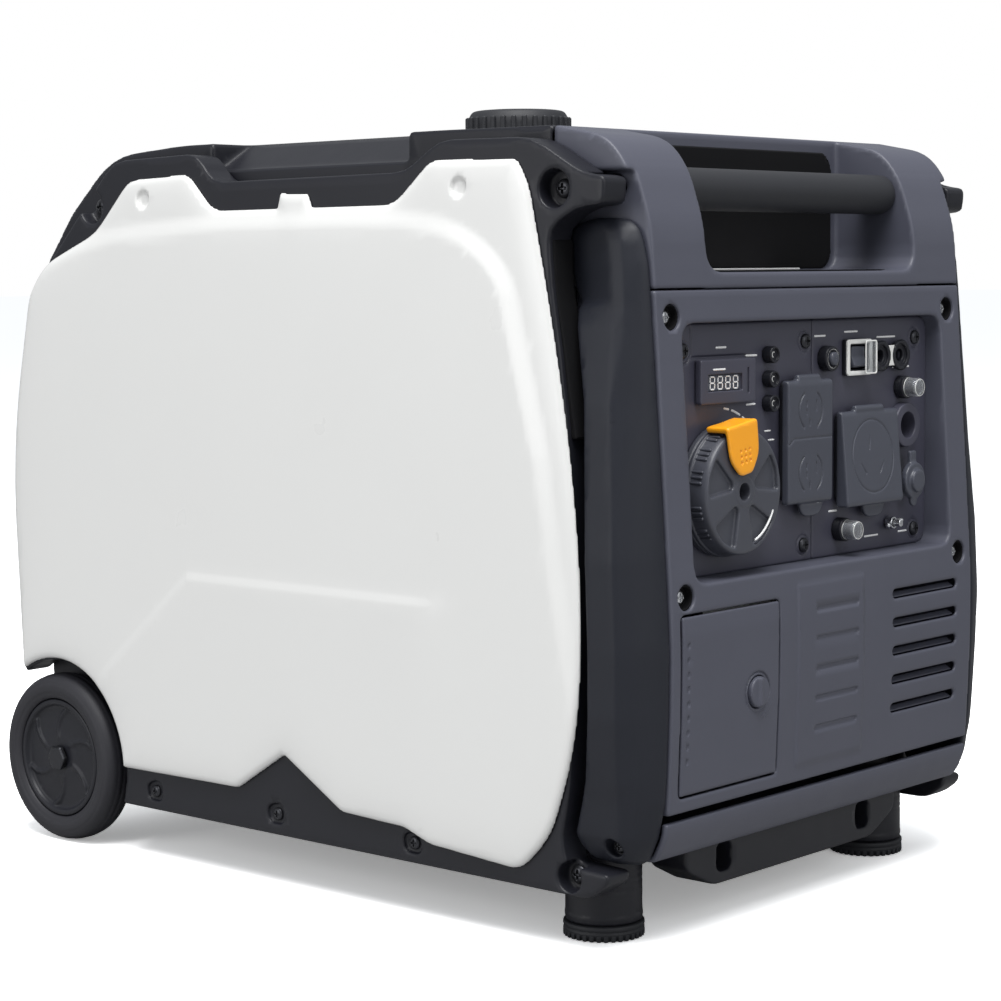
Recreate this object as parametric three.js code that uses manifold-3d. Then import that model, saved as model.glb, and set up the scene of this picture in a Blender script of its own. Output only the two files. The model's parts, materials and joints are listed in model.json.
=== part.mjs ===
// A wheeled inverter generator: a closed box on two rubber feet and two wheels, with a hand grip over its
// control panel. Millimetres, +Z up. The control panel faces -Y, and the side with -X is the left-hand side.
// Pieces are laid out with y = 0 at the foot of the front face and z = 0 on the ground, and the whole
// generator is moved at the end so that its origin is the centre of its footprint.

import * as THREE from "three";
import { mergeVertices } from "three/addons/utils/BufferGeometryUtils.js";
import Module from "manifold-3d";

const wasm = await Module();
wasm.setup();

// ---------------------------------------------------------------- driving dimensions

// Overall
const BODY_LENGTH = 596; // front face to the back of the casing
const BODY_WIDTH = 406; // over the two side frames
const TOP_HEIGHT = 510; // ground to the top cover's plateau
const FRAME_BOTTOM = 36.5; // ground to the underside of the side frames
const WALL = 3; // moulded casing wall
const GAP = 0.4; // clearance between pieces that meet

// Side frames, panels and corner guards
const FRAME_DEPTH = 22.5;
const FRAME_WEB = 5;
const PANEL_THICKNESS = 6.4;
const PANEL_SCREW_RADIUS = 4.5;
const FRAME_WELL_RADII = { foot: 9.5, front: 11.8, rear: 12 };
const FRAME_WELL_DEPTH = 12;
const GUARD_PROUD = 3; // how far a guard stands out past the side frame

// Front face
const KNEE_HEIGHT = 200; // below this the front face curves back
const LEAN = 0.064; // how much the face leans back above the knee
const UNDERCUT = 3e-4;
const FASCIA_BOTTOM = 88;
const FASCIA_DEPTH = 75;
const SEAM_DROP = 102.5; // top cover's plateau to the seam under the handle housing
const FASCIA_INSET = 8; // side frame's inner face to the sides of the fascia and the handle housing

// Control recess
const RECESS_HALF_WIDTH = 147;
const RECESS_HEIGHT = 159;
const RECESS_DROP = 20.5; // seam to the recess's upper edge
const RECESS_CORNER = 12;
const PLATE_FACE = 23; // depth of the control plates' face behind the knee of the front face
const PLATE_THICKNESS = 3;
const PLATE_SPLIT = 7;
const LEDGE = 6;

// Service door and louvres
const DOOR_LEFT = -162;
const DOOR_WIDTH = 101;
const DOOR_BOTTOM = 98.5;
const DOOR_HEIGHT = 111;
const DOOR_THICKNESS = 2.6;
const LATCH_RADIUS = 12;
const LATCH_PROUD = 3; // the latch's grip stands out this far and is the foremost point
const LATCH_EDGE = 23; // latch centre to the door's free edge
const LOUVRE_COUNT = 5;
const LOUVRE_PITCH = 19.6;
const LOUVRE_WIDTH = 81;
const LOUVRE_HEIGHT = 6;
const LOUVRE_LEFT = 72;
const LOUVRE_LOWEST = 121.5;

// Grip
const TUBE_RADIUS = 7;
const GRIP_RADIUS = 13.5;
const GRIP_DEPTH = 43; // front face to the grip's axis
const GRIP_DROP = 40; // plateau to the grip's axis
const SHOULDER_DROP = 30.5; // plateau to the underside of the shoulders over the ends of the grip's tube
const POCKET_HALF_WIDTH = 118;
const POCKET_FLOOR_DROP = 92;
const POCKET_BACK = 80;

// Controls
const DIAL_RADIUS = 39.5;
const DIAL_HEIGHT = 20;
const DIAL_SHAFT_RADIUS = 6;
const POINTER_TURN = 9; // degrees anticlockwise, as seen from the front
const DUPLEX_WIDTH = 51;
const DUPLEX_HEIGHT = 83;
const TWISTLOCK_WIDTH = 68;
const TWISTLOCK_HEIGHT = 66;
const COVER_REST = 3.6; // face of an outlet to the back of its flip cover
const COVER_WALL = 2;
const BREAKER_RADIUS = 8;
const BREAKER_HEIGHT = 7;
const BUTTON_RADIUS = 4.6;
const BUTTON_CLEARANCE = 0.4;
const BOOT_RADIUS = 6.6;
const BOOT_HEIGHT = 17;
const RESET_RADIUS = 8.5;
const SOCKET_RADIUS = 8.6;
const SOCKET_PITCH = 24;
const STUD_RADIUS = 2.5;

// Running gear
const WHEEL_RADIUS = 62.5;
const WHEEL_WIDTH = 28;
const WHEEL_REACH = 6.5; // side frame's outer face to the wheel's outer face
const WHEEL_SETBACK = 46; // casing's back to the axle
const RIM_RADIUS = 44;
const HUB_SETBACK = 5; // wheel's outer face to the face of its hub
const AXLE_RADIUS = 6;
const AXLE_CLEARANCE = 0.3;
const ARCH_CLEARANCE = 10.5;
const FOOT_X = 150;
const FOOT_Y = 73;
const FOOT_RADIUS = 25;
const PAD_HEIGHT = 10;
const FLOOR_HEIGHT = 57.5; // underside of the base pan
const PAN_WALL_HEIGHT = 24;
const BOSS_RADIUS = 17; // axle to the top of its bosses
const SILL_TOP = 83;

// Towing handle under the floor
const ARM_X = 84;
const ARM_SIZE = 12;
const ARM_LENGTH = 440;
const ARM_CLEARANCE = 0.5;
const ARM_DROP = 3; // floor to the arms
const TOW_FRONT = 30;
const TOW_DEPTH = 30;
const TOW_BOTTOM = 26;

// Fuel system
const CAP_Y = 271;
const CAP_RADIUS = 38;
const CAP_HEIGHT = 24;
const NECK_RADIUS = 24;
const NECK_WALL = 3;
const NECK_CLEARANCE = 1.5;
const TANK_HALF_WIDTH = 140;
const TANK_LENGTH = 290;
const TANK_HEIGHT = 86;
const TANK_TOP_DROP = 38;

// Engine and alternator
const CRANK_HEIGHT = 172;
const CRANK_RADIUS = 10;
const ENGINE_FRONT = 262;
const ENGINE_LENGTH = 150;
const ROTOR_RADIUS = 72;
const ROTOR_LENGTH = 56;
const STATOR_RADIUS = 56;
const TAIL_RADIUS = 13;

// ---------------------------------------------------------------- places worked out from them

const HALF_WIDTH = BODY_WIDTH / 2;
const FRAME_INNER = HALF_WIDTH - FRAME_DEPTH;
const CORE_HALF = FRAME_INNER - GAP; // half width of everything that fits between the side frames
const FASCIA_HALF = FRAME_INNER - FASCIA_INSET;
const SEAM = TOP_HEIGHT - SEAM_DROP;
const RECESS_TOP = SEAM - RECESS_DROP;
const RECESS_BOTTOM = RECESS_TOP - RECESS_HEIGHT;
const AXLE_Y = BODY_LENGTH - WHEEL_SETBACK;
const ARCH_RADIUS = WHEEL_RADIUS + ARCH_CLEARANCE;
const WHEEL_OUTER = HALF_WIDTH + WHEEL_REACH;
const WHEEL_INNER = WHEEL_OUTER - WHEEL_WIDTH;
const COVER_FRONT = 86; // handle housing's back, where the top cover starts
const REARMOST = AXLE_Y + WHEEL_RADIUS;
const GRIP_Z = TOP_HEIGHT - GRIP_DROP;
const NECK_TOP = TOP_HEIGHT + CAP_HEIGHT - 8;

const frontY = (z) => (z > KNEE_HEIGHT ? (z - KNEE_HEIGHT) * LEAN : (KNEE_HEIGHT - z) ** 2 * UNDERCUT);
const back = (distance) => BODY_LENGTH - distance;
const top = (distance) => TOP_HEIGHT - distance;

// ---------------------------------------------------------------- finishes

const finish = (color, roughness, metalness = 0) =>
  new THREE.MeshStandardMaterial({ color, roughness, metalness });
const FINISHES = {
  shell: finish(0x4c4f59, 0.55),
  frame: finish(0x24252c, 0.5),
  white: finish(0xe9e9e6, 0.25),
  rubber: finish(0x1d1e22, 0.85),
  tyre: finish(0x22242a, 0.8),
  plate: finish(0x3d4049, 0.5),
  knob: finish(0x474a54, 0.5),
  orange: finish(0xf7a21b, 0.35),
  clear: finish(0xd7dce2, 0.1),
  pale: finish(0xd8d8d4, 0.35),
  steel: finish(0xb4b6ba, 0.35, 0.9),
  cast: finish(0x9a9c9f, 0.6, 0.7),
  copper: finish(0xa8623a, 0.4, 0.8),
  tank: finish(0x2a2b30, 0.45, 0.3),
};

// ---------------------------------------------------------------- shapes and solids

// A closed outline whose corners are [u, v, softness]: a corner is rounded from that far away on each side,
// but never from beyond the middle of an edge.
const MOST_OF_HALF = 0.49;
function outline(corners) {
  const at = (i) => new THREE.Vector2(...corners[(i + corners.length) % corners.length]);
  const shape = new THREE.Shape();
  corners.forEach(([, , softness = 0], i) => {
    const corner = at(i);
    const before = at(i - 1).sub(corner);
    const after = at(i + 1).sub(corner);
    const towards = (edge) => edge.setLength(Math.min(softness, edge.length() * MOST_OF_HALF)).add(corner);
    const start = towards(before);
    const end = towards(after);
    if (i === 0) shape.moveTo(start.x, start.y);
    else shape.lineTo(start.x, start.y);
    if (softness > 0) shape.quadraticCurveTo(corner.x, corner.y, end.x, end.y);
  });
  shape.closePath();
  return shape;
}

// A rectangle with rounded corners, given by its low and high corners.
const rectangle = (u0, u1, v0, v1, softness = 0) =>
  outline([[u0, v0, softness], [u1, v0, softness], [u1, v1, softness], [u0, v1, softness]]);

function circle(u, v, radius, sides = 20) {
  const points = Array.from({ length: sides }, (_, i) => {
    const angle = ((i + 0.5) / sides) * 2 * Math.PI;
    return new THREE.Vector2(u + radius * Math.cos(angle), v + radius * Math.sin(angle));
  });
  return new THREE.Shape(points);
}

// A closed geometry as a solid that can be joined and cut.
function solid(geometry) {
  const bare = new THREE.BufferGeometry().setAttribute("position", geometry.getAttribute("position"));
  if (geometry.index) bare.setIndex(geometry.index);
  const merged = mergeVertices(bare, 1e-4);
  const index = merged.index.array;
  const triVerts = [];
  for (let i = 0; i < index.length; i += 3) {
    const [a, b, c] = [index[i], index[i + 1], index[i + 2]];
    if (a !== b && b !== c && c !== a) triVerts.push(a, b, c);
  }
  return new wasm.Manifold(
    new wasm.Mesh({
      numProp: 3,
      vertProperties: new Float32Array(merged.attributes.position.array),
      triVerts: new Uint32Array(triVerts),
    }),
  );
}

const [X, Y, Z] = [new THREE.Vector3(1, 0, 0), new THREE.Vector3(0, 1, 0), new THREE.Vector3(0, 0, 1)];
// An outline's (u, v) is (y, z) along x, (x, z) along y and (x, y) along z.
const EXTRUSION = {
  x: new THREE.Matrix4().makeBasis(Y, Z, X),
  y: new THREE.Matrix4().makeBasis(X, Z, Y.clone().negate()),
  z: new THREE.Matrix4(),
};

// An outline drawn out along an axis from low to high.
function prism(axis, shape, low, high, curveSegments = 3) {
  const depth = high - low;
  const geometry = new THREE.ExtrudeGeometry(shape, { depth, bevelEnabled: false, curveSegments });
  geometry.translate(0, 0, axis === "y" ? -high : low).applyMatrix4(EXTRUSION[axis]);
  return solid(geometry);
}

function block(x0, x1, y0, y1, z0, z1) {
  const box = new THREE.BoxGeometry(x1 - x0, y1 - y0, z1 - z0);
  return solid(box.translate((x0 + x1) / 2, (y0 + y1) / 2, (z0 + z1) / 2));
}

const rod = (axis, u, v, radius, low, high, sides = 20) =>
  prism(axis, circle(u, v, radius, sides), low, high);

const TURNING = {
  x: new THREE.Matrix4().makeRotationZ(-Math.PI / 2),
  y: new THREE.Matrix4(),
  z: new THREE.Matrix4().makeRotationX(Math.PI / 2),
};

// A profile of [radius, distance along the axis] points turned round an axis through the origin.
function turned(axis, profile, sides = 24) {
  const points = profile.map(([radius, along]) => new THREE.Vector2(radius, along));
  return solid(new THREE.LatheGeometry(points, sides).applyMatrix4(TURNING[axis]));
}

// A skin through rings of [x, y, z] points that all have the same count, closed by its first and last ring.
function lofted(rings) {
  const count = rings[0].length;
  const positions = rings.flat(2);
  const index = [];
  for (let r = 0; r + 1 < rings.length; r += 1) {
    for (let i = 0; i < count; i += 1) {
      const [a, b] = [r * count + i, r * count + ((i + 1) % count)];
      index.push(a, b, b + count, a, b + count, a + count);
    }
  }
  const last = (rings.length - 1) * count;
  for (let i = 1; i + 1 < count; i += 1) {
    index.push(0, i + 1, i, last, last + i, last + i + 1);
  }
  const geometry = new THREE.BufferGeometry();
  geometry.setAttribute("position", new THREE.Float32BufferAttribute(positions, 3));
  return solid(geometry.setIndex(index));
}

const join = (first, ...others) => others.reduce((whole, other) => whole.add(other), first);
const cut = (first, ...others) => others.reduce((whole, other) => whole.subtract(other), first);

// A finished piece: a named mesh with its own finish.
function piece(name, body, material) {
  const { vertProperties, triVerts } = body.getMesh();
  const geometry = new THREE.BufferGeometry();
  geometry.setAttribute("position", new THREE.Float32BufferAttribute(vertProperties, 3));
  geometry.setIndex(new THREE.Uint32BufferAttribute(triVerts, 1));
  const flat = geometry.toNonIndexed();
  flat.computeVertexNormals();
  const mesh = new THREE.Mesh(flat, material.clone());
  mesh.name = name;
  return mesh;
}

// Side -1 is the left, +1 the right: the stretch of x between two distances from the middle.
const spanX = (side, inner, outer) => (side < 0 ? [-outer, -inner] : [inner, outer]);
const sideName = (side) => (side < 0 ? "left" : "right");

// ---------------------------------------------------------------- casing

// The dark side frame: a tray with its web outside, ears at the front corners and an arch over the wheel.
function sideFrame(side) {
  const edge = outline([
    [27, FRAME_BOTTOM + 17.5, 2],
    [27, FRAME_BOTTOM + 11, 4],
    [42, FRAME_BOTTOM, 6],
    [back(2), FRAME_BOTTOM],
    [back(4), 133, 8],
    [back(0), 267, 60],
    [back(22), top(103), 25],
    [back(61), top(65), 20],
    [back(119), top(10), 12],
    [back(208), top(8), 10],
    [back(224), top(28), 10],
    [CAP_Y - 80, top(27), 10],
    [CAP_Y - 110, top(8), 10],
    [84, top(9), 12],
    [44, top(32), 8],
    [27, top(34.5), 3],
    [28, top(51), 4],
    [50, top(53), 8],
    [71, top(65), 8],
    [70, top(95), 30],
    [56, 330, 60],
    [51, 184, 60],
    [57, 100, 25],
    [64, 72, 8],
    [60, FRAME_BOTTOM + 19, 5],
  ]);
  const hollow = outline([
    [74, FRAME_BOTTOM + 8, 6],
    [AXLE_Y - ARCH_RADIUS - 8, FRAME_BOTTOM + 8, 6],
    [AXLE_Y - ARCH_RADIUS, 120, 30],
    [AXLE_Y, WHEEL_RADIUS + ARCH_RADIUS + 16, 30],
    [back(14), WHEEL_RADIUS + ARCH_RADIUS + 16, 6],
    [back(12), 267, 60],
    [back(70), top(70), 20],
    [back(128), top(44), 12],
    [83, top(44), 12],
    [66, 330, 60],
    [62, 184, 40],
  ]);
  const [low, high] = spanX(side, FRAME_INNER, HALF_WIDTH);
  const [pocketLow, pocketHigh] = spanX(side, FRAME_INNER - 1, HALF_WIDTH - FRAME_WEB);
  const [wellLow, wellHigh] = spanX(side, HALF_WIDTH - FRAME_WELL_DEPTH, HALF_WIDTH + 1);
  const wells = [
    [58, FRAME_BOTTOM + 11.5, FRAME_WELL_RADII.foot],
    [66.7, top(40.7), FRAME_WELL_RADII.front],
    [back(94), top(42), FRAME_WELL_RADII.rear],
  ];
  return cut(
    prism("x", edge, low, high, 2),
    prism("x", hollow, pocketLow, pocketHigh, 2),
    rod("x", AXLE_Y, WHEEL_RADIUS, ARCH_RADIUS, low - 1, high + 1, 32),
    ...wells.map(([y, z, radius]) => rod("x", y, z, radius, wellLow, wellHigh, 16)),
    rod("x", GRIP_DEPTH, GRIP_Z, TUBE_RADIUS + GAP, pocketLow, pocketHigh),
  );
}

// The pale outer panel that covers a side frame.
function sidePanel(side) {
  const edge = outline([
    [95, 47, 10],
    [70, 72, 15],
    [51, 125, 40],
    [42, 197, 50],
    [49, 294, 60],
    [64, top(126), 60],
    [83, top(38), 8],
    [93, top(20.5), 6],
    [CAP_Y - 105, top(19), 8],
    [CAP_Y - 72, top(46), 10],
    [CAP_Y + 1, top(46)],
    [CAP_Y + 5, top(37), 2],
    [CAP_Y + 33, top(36), 2],
    [CAP_Y + 36, top(46)],
    [back(227), top(46), 10],
    [back(202), top(20.5), 8],
    [back(138), top(23), 10],
    [back(99), top(60), 12],
    [back(44), top(81), 12],
    [back(25), top(101), 15],
    [back(-1), 290, 60],
    [back(6), 133, 4],
    [back(6), 70],
    [back(117), 64, 4],
    [back(242), 65, 4],
    [back(289), 94, 3],
    [back(344), 62, 4],
    [195, 60, 4],
    [172, 52, 4],
  ]);
  const [low, high] = spanX(side, HALF_WIDTH + GAP, HALF_WIDTH + GAP + PANEL_THICKNESS);
  const screws = [[141, top(38)], [back(155), top(38)]];
  return cut(
    prism("x", edge, low, high, 2),
    rod("x", AXLE_Y, WHEEL_RADIUS, ARCH_RADIUS + 1, low - 1, high + 1, 32),
    ...screws.map(([y, z]) => rod("x", y, z, PANEL_SCREW_RADIUS, low - 1, high + 1, 12)),
  );
}

// The upright bumper on a front corner. Its front starts level with the fascia and slopes back to a crease,
// where the outer face begins. Each station is [height, inner edge behind the front face, y of the crease,
// y of the back, how far in from the widest point the crease is, and the same for the back].
function cornerGuard(side) {
  const widest = HALF_WIDTH + GUARD_PROUD;
  const stations = [
    [FRAME_BOTTOM + 20, 14, 26, 36, 26, 22],
    [FRAME_BOTTOM + 23.5, 10, 20, 50, 21, 16],
    [FRAME_BOTTOM + 31, 7, 17, 56, 18, 12],
    [75, 4.3, 15, 58, 16.5, 9],
    [97, 0.6, 13, 51, 14, 7],
    [110, 0.5, 12, 47, 13, 5],
    [150, 0.5, 10, 42, 12, 1],
    [190, 0.5, 9, 41, 11, 0],
    [245, 0.5, 11, 43, 12, 0.5],
    [top(170), 0.5, 19, 49.5, 16, 8.5],
    [top(125), 0.5, 23, 60, 18, 15.5],
    [top(114), 0.5, 24, 63, 18.7, 20],
    [top(109), 0.5, 24.5, 65, 19, 26.5],
    [top(103), 0.5, 25, 71, 19.2, 29],
    [top(86), 0.6, 27, 78.5, 20.4, 29],
    [top(73), 2.8, 29, 80.5, 21.5, 29],
    [top(65), 5.3, 33, 75, 23.5, 29],
    [top(60.5), 10, 38, 67, 26, 29.5],
    [top(58.5), 18, 42, 56, 29, 30],
  ];
  const inner = FASCIA_HALF + GAP;
  const rings = stations.map(([z, lag, bevel, rear, creaseIn, rearIn]) => {
    const seam = frontY(z) + lag;
    const crease = widest - creaseIn;
    const half = [
      [inner, seam],
      [inner + (crease - inner) * 0.5, seam + (bevel - seam) * 0.35],
      [crease, bevel],
      [Math.max(crease + 1, widest - rearIn), bevel + 9],
      [widest - rearIn, rear],
      [inner, rear],
    ];
    const ring = half.map(([x, y]) => [side * x, y, z]);
    return side < 0 ? ring.reverse() : ring;
  });
  return lofted(rings);
}

// A prism across the generator from a profile of [y, z], wide by half on each side of the middle.
const across = (corners, half, curveSegments) => prism("x", outline(corners), -half, half, curveSegments);

// The front face: a shell with the control recess, the service door's opening and the louvres.
function frontFascia() {
  const profile = (inset) => [
    [frontY(FASCIA_BOTTOM) + inset, FASCIA_BOTTOM + inset],
    [frontY(150) + inset, 150, 20],
    [inset, KNEE_HEIGHT, 30],
    [frontY(SEAM) + inset, SEAM - inset],
  ];
  const outer = across(
    [...profile(0), [FASCIA_DEPTH, SEAM], [FASCIA_DEPTH, FASCIA_BOTTOM]],
    FASCIA_HALF,
  );
  const inner = across(
    [...profile(WALL), [FASCIA_DEPTH + 1, SEAM - WALL], [FASCIA_DEPTH + 1, FASCIA_BOTTOM + WALL]],
    FASCIA_HALF - WALL,
  );
  const seat = PLATE_FACE + PLATE_THICKNESS + GAP;
  const opening = (grow, low, high) =>
    prism(
      "y",
      rectangle(
        -RECESS_HALF_WIDTH - grow,
        RECESS_HALF_WIDTH + grow,
        RECESS_BOTTOM - grow,
        RECESS_TOP + grow,
        RECESS_CORNER + Math.max(grow, -RECESS_CORNER / 2),
      ),
      low,
      high,
    );
  const tub = opening(WALL, -10, seat + WALL).intersect(outer);
  const louvres = Array.from({ length: LOUVRE_COUNT }, (_, i) => {
    const z = LOUVRE_LOWEST + i * LOUVRE_PITCH;
    return prism(
      "y",
      rectangle(LOUVRE_LEFT, LOUVRE_LEFT + LOUVRE_WIDTH, z - LOUVRE_HEIGHT / 2, z + LOUVRE_HEIGHT / 2, 2.9),
      -10,
      WALL * 3,
    );
  });
  return cut(
    join(cut(outer, inner), tub),
    opening(0, -10, seat),
    opening(-LEDGE, -10, seat + WALL + 1),
    prism(
      "y",
      rectangle(
        DOOR_LEFT - GAP,
        DOOR_LEFT + DOOR_WIDTH + GAP,
        DOOR_BOTTOM - GAP,
        DOOR_BOTTOM + DOOR_HEIGHT + GAP,
      ),
      -10,
      WALL * 4,
    ),
    ...louvres,
  );
}

// The sill under the front face: a lip in front and a flange below.
const frontSill = () =>
  across(
    [
      [frontY(SILL_TOP) + 0.6, SILL_TOP],
      [frontY(SILL_TOP) + 1.6, 74, 4],
      [11, FLOOR_HEIGHT + 5, 5],
      [16, FLOOR_HEIGHT, 3],
      [FASCIA_DEPTH - 5, FLOOR_HEIGHT],
      [FASCIA_DEPTH - 5, FLOOR_HEIGHT + WALL],
      [18, FLOOR_HEIGHT + WALL, 3],
      [frontY(SILL_TOP) + 6, 75, 4],
      [frontY(SILL_TOP) + 6, SILL_TOP],
    ],
    FASCIA_HALF,
  );

// The arch over the control panel, with a pocket for the hand between two cheeks.
function handleHousing() {
  const profile = (inset) => [
    [frontY(SEAM) + inset, SEAM + GAP],
    [frontY(SEAM) + 3 + inset, top(62), 12],
    [28 + inset, top(27), 12],
    [44 + inset, top(9) - inset, 12],
    [COVER_FRONT - GAP - inset, top(1) - inset],
    [COVER_FRONT - GAP - inset, SEAM + GAP],
  ];
  const shoulders = block(-CORE_HALF, CORE_HALF, 0, COVER_FRONT, top(SHOULDER_DROP), TOP_HEIGHT);
  const cheeks = join(
    across(profile(0), FASCIA_HALF, 4),
    across(profile(0), CORE_HALF, 4).intersect(shoulders),
  );
  const pocket = prism(
    "y",
    rectangle(-POCKET_HALF_WIDTH, POCKET_HALF_WIDTH, top(POCKET_FLOOR_DROP), TOP_HEIGHT + 60, 16),
    -20,
    POCKET_BACK,
    4,
  );
  const core = across(profile(WALL), FASCIA_HALF - WALL, 4).intersect(
    join(
      block(-FASCIA_HALF, -POCKET_HALF_WIDTH - WALL, 0, COVER_FRONT, SEAM - 1, TOP_HEIGHT),
      block(POCKET_HALF_WIDTH + WALL, FASCIA_HALF, 0, COVER_FRONT, SEAM - 1, TOP_HEIGHT),
    ),
  );
  const bore = rod("x", GRIP_DEPTH, GRIP_Z, TUBE_RADIUS + GAP, -HALF_WIDTH, HALF_WIDTH);
  return cut(cheeks, pocket, core, bore);
}

// The top cover: a raised plateau with a shallow scallop in each side, open below, with the filler hole.
function topCover() {
  const profile = (inset) => [
    [COVER_FRONT + (inset ? -1 : 0), top(1) - inset],
    [179, TOP_HEIGHT - inset, 10],
    [back(167), TOP_HEIGHT - inset, 10],
    [back(90), top(5) - inset, 25],
    [back(43) - inset, top(45), 8],
    [back(14) - inset, top(80)],
    [back(14) - inset, top(84) - (inset ? 1 : 0)],
    [back(40), top(84) - (inset ? 1 : 0)],
    [COVER_FRONT + (inset ? -1 : 0), top(84) - (inset ? 1 : 0)],
  ];
  const scallop = (side) => {
    const section = [
      [side * (CORE_HALF + 1), top(19)],
      [side * (CORE_HALF - 8), top(18)],
      [side * (CORE_HALF - 40), TOP_HEIGHT + 1],
      [side * (CORE_HALF + 1), TOP_HEIGHT + 1],
    ];
    return prism("y", outline(side < 0 ? section : section.reverse()), CAP_Y - 62, back(200));
  };
  const outer = across(profile(0), CORE_HALF, 4);
  const inner = cut(
    across(profile(WALL), CORE_HALF - WALL, 4),
    block(-HALF_WIDTH, -CORE_HALF + 44, CAP_Y - 66, back(196), top(22), TOP_HEIGHT),
    block(CORE_HALF - 44, HALF_WIDTH, CAP_Y - 66, back(196), top(22), TOP_HEIGHT),
  );
  return cut(
    outer,
    inner,
    scallop(-1),
    scallop(1),
    rod("z", 0, CAP_Y, NECK_RADIUS + NECK_CLEARANCE, top(20), TOP_HEIGHT + 5),
  );
}

// The rear shell, with rows of louvres for the cooling air and a hole for the tail pipe.
const TAIL_X = 70;
const TAIL_Z = 300;
const REAR_SLOT = { count: 8, pitch: 22, height: 8, lowest: 160, left: -130, right: -10 };
function rearShell() {
  const low = Math.max(FLOOR_HEIGHT + PAN_WALL_HEIGHT, WHEEL_RADIUS + BOSS_RADIUS) + 5;
  const high = top(84) - GAP;
  const profile = (inset) => [
    [back(96) - (inset ? 1 : 0), low + inset],
    [back(12) - inset, low + inset, 6],
    [back(6) - inset, 133, 20],
    [back(2) - inset, 267, 60],
    [back(14) - inset, high - inset, 4],
    [back(96) - (inset ? 1 : 0), high - inset],
  ];
  const slots = Array.from({ length: REAR_SLOT.count }, (_, i) => {
    const z = REAR_SLOT.lowest + i * REAR_SLOT.pitch;
    const slot = rectangle(REAR_SLOT.left, REAR_SLOT.right, z, z + REAR_SLOT.height);
    return prism("y", slot, back(30), back(-10));
  });
  return cut(
    across(profile(0), CORE_HALF),
    across(profile(WALL), CORE_HALF - WALL),
    ...slots,
    rod("y", TAIL_X, TAIL_Z, TAIL_RADIUS + 9, back(30), back(-10), 24),
  );
}

// The floor of the casing: a tray with vents, bosses for the axle and guides for the towing handle.
const PAN_FRONT = FASCIA_DEPTH - 4;
const ARM_TOP = FLOOR_HEIGHT - ARM_DROP;
const GUIDE_STATIONS = [110, 190];
const GUIDE_LENGTH = 16;
const PAN_VENT = { count: 6, pitch: 16, length: 8, halfWidth: 50, start: 240 };
const BOSS_WIDTH = 26;
const BOSS_DROP = 20; // axle to the underside of its bosses
function basePan() {
  const rear = back(14);
  const tray = cut(
    block(-CORE_HALF, CORE_HALF, PAN_FRONT, rear, FLOOR_HEIGHT, FLOOR_HEIGHT + PAN_WALL_HEIGHT),
    block(
      -CORE_HALF + WALL,
      CORE_HALF - WALL,
      PAN_FRONT + WALL,
      rear - WALL,
      FLOOR_HEIGHT + WALL,
      FLOOR_HEIGHT + PAN_WALL_HEIGHT + 1,
    ),
  );
  const arm = (side, grow) => {
    const [low, high] = spanX(side, ARM_X - ARM_SIZE / 2 - grow, ARM_X + ARM_SIZE / 2 + grow);
    return block(low, high, 0, back(100), ARM_TOP - ARM_SIZE - grow, ARM_TOP + grow);
  };
  const guides = [-1, 1].flatMap((side) =>
    GUIDE_STATIONS.map((y) => {
      const [low, high] = spanX(side, ARM_X - ARM_SIZE, ARM_X + ARM_SIZE);
      return block(low, high, y, y + GUIDE_LENGTH, ARM_TOP - ARM_SIZE - 5, FLOOR_HEIGHT + 1);
    }),
  );
  const bosses = [-1, 1].map((side) => {
    const [low, high] = spanX(side, CORE_HALF - BOSS_WIDTH, CORE_HALF);
    const [bottom, height] = [WHEEL_RADIUS - BOSS_DROP, WHEEL_RADIUS + BOSS_RADIUS];
    return block(low, high, AXLE_Y - BOSS_RADIUS, rear, bottom, height);
  });
  const vents = Array.from({ length: PAN_VENT.count }, (_, i) => {
    const y = back(PAN_VENT.start) + i * PAN_VENT.pitch;
    const [low, high] = [FLOOR_HEIGHT - 1, FLOOR_HEIGHT + WALL + 1];
    return block(-PAN_VENT.halfWidth, PAN_VENT.halfWidth, y, y + PAN_VENT.length, low, high);
  });
  return cut(
    join(tray, ...guides, ...bosses),
    arm(-1, ARM_CLEARANCE),
    arm(1, ARM_CLEARANCE),
    rod("x", AXLE_Y, WHEEL_RADIUS, AXLE_RADIUS + GAP, -HALF_WIDTH, HALF_WIDTH, 24),
    ...vents,
  );
}

// ---------------------------------------------------------------- grip, feet, wheels and towing handle

function handleTube() {
  const reach = HALF_WIDTH - FRAME_WEB - GAP;
  return rod("x", GRIP_DEPTH, GRIP_Z, TUBE_RADIUS, -reach, reach);
}

const gripSleeve = () =>
  cut(
    rod("x", GRIP_DEPTH, GRIP_Z, GRIP_RADIUS, -POCKET_HALF_WIDTH + GAP, POCKET_HALF_WIDTH - GAP, 24),
    rod("x", GRIP_DEPTH, GRIP_Z, TUBE_RADIUS + GAP, -POCKET_HALF_WIDTH, POCKET_HALF_WIDTH),
  );

// A foot is drawn round its own axis and stood at its corner.
function foot(side) {
  const group = new THREE.Group();
  const column = turned("z", [
    [0, PAD_HEIGHT + GAP],
    [FOOT_RADIUS, PAD_HEIGHT + GAP],
    [FOOT_RADIUS, FLOOR_HEIGHT - GAP],
    [0, FLOOR_HEIGHT - GAP],
  ]);
  const pad = turned("z", [
    [0, 0],
    [FOOT_RADIUS, 0],
    [FOOT_RADIUS + 1.3, 2],
    [FOOT_RADIUS + 1.3, PAD_HEIGHT],
    [0, PAD_HEIGHT],
  ]);
  group.add(piece("foot_" + sideName(side), column, FINISHES.frame));
  group.add(piece("foot_pad_" + sideName(side), pad, FINISHES.rubber));
  group.position.set(side * FOOT_X, FOOT_Y, 0);
  return group;
}

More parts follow.
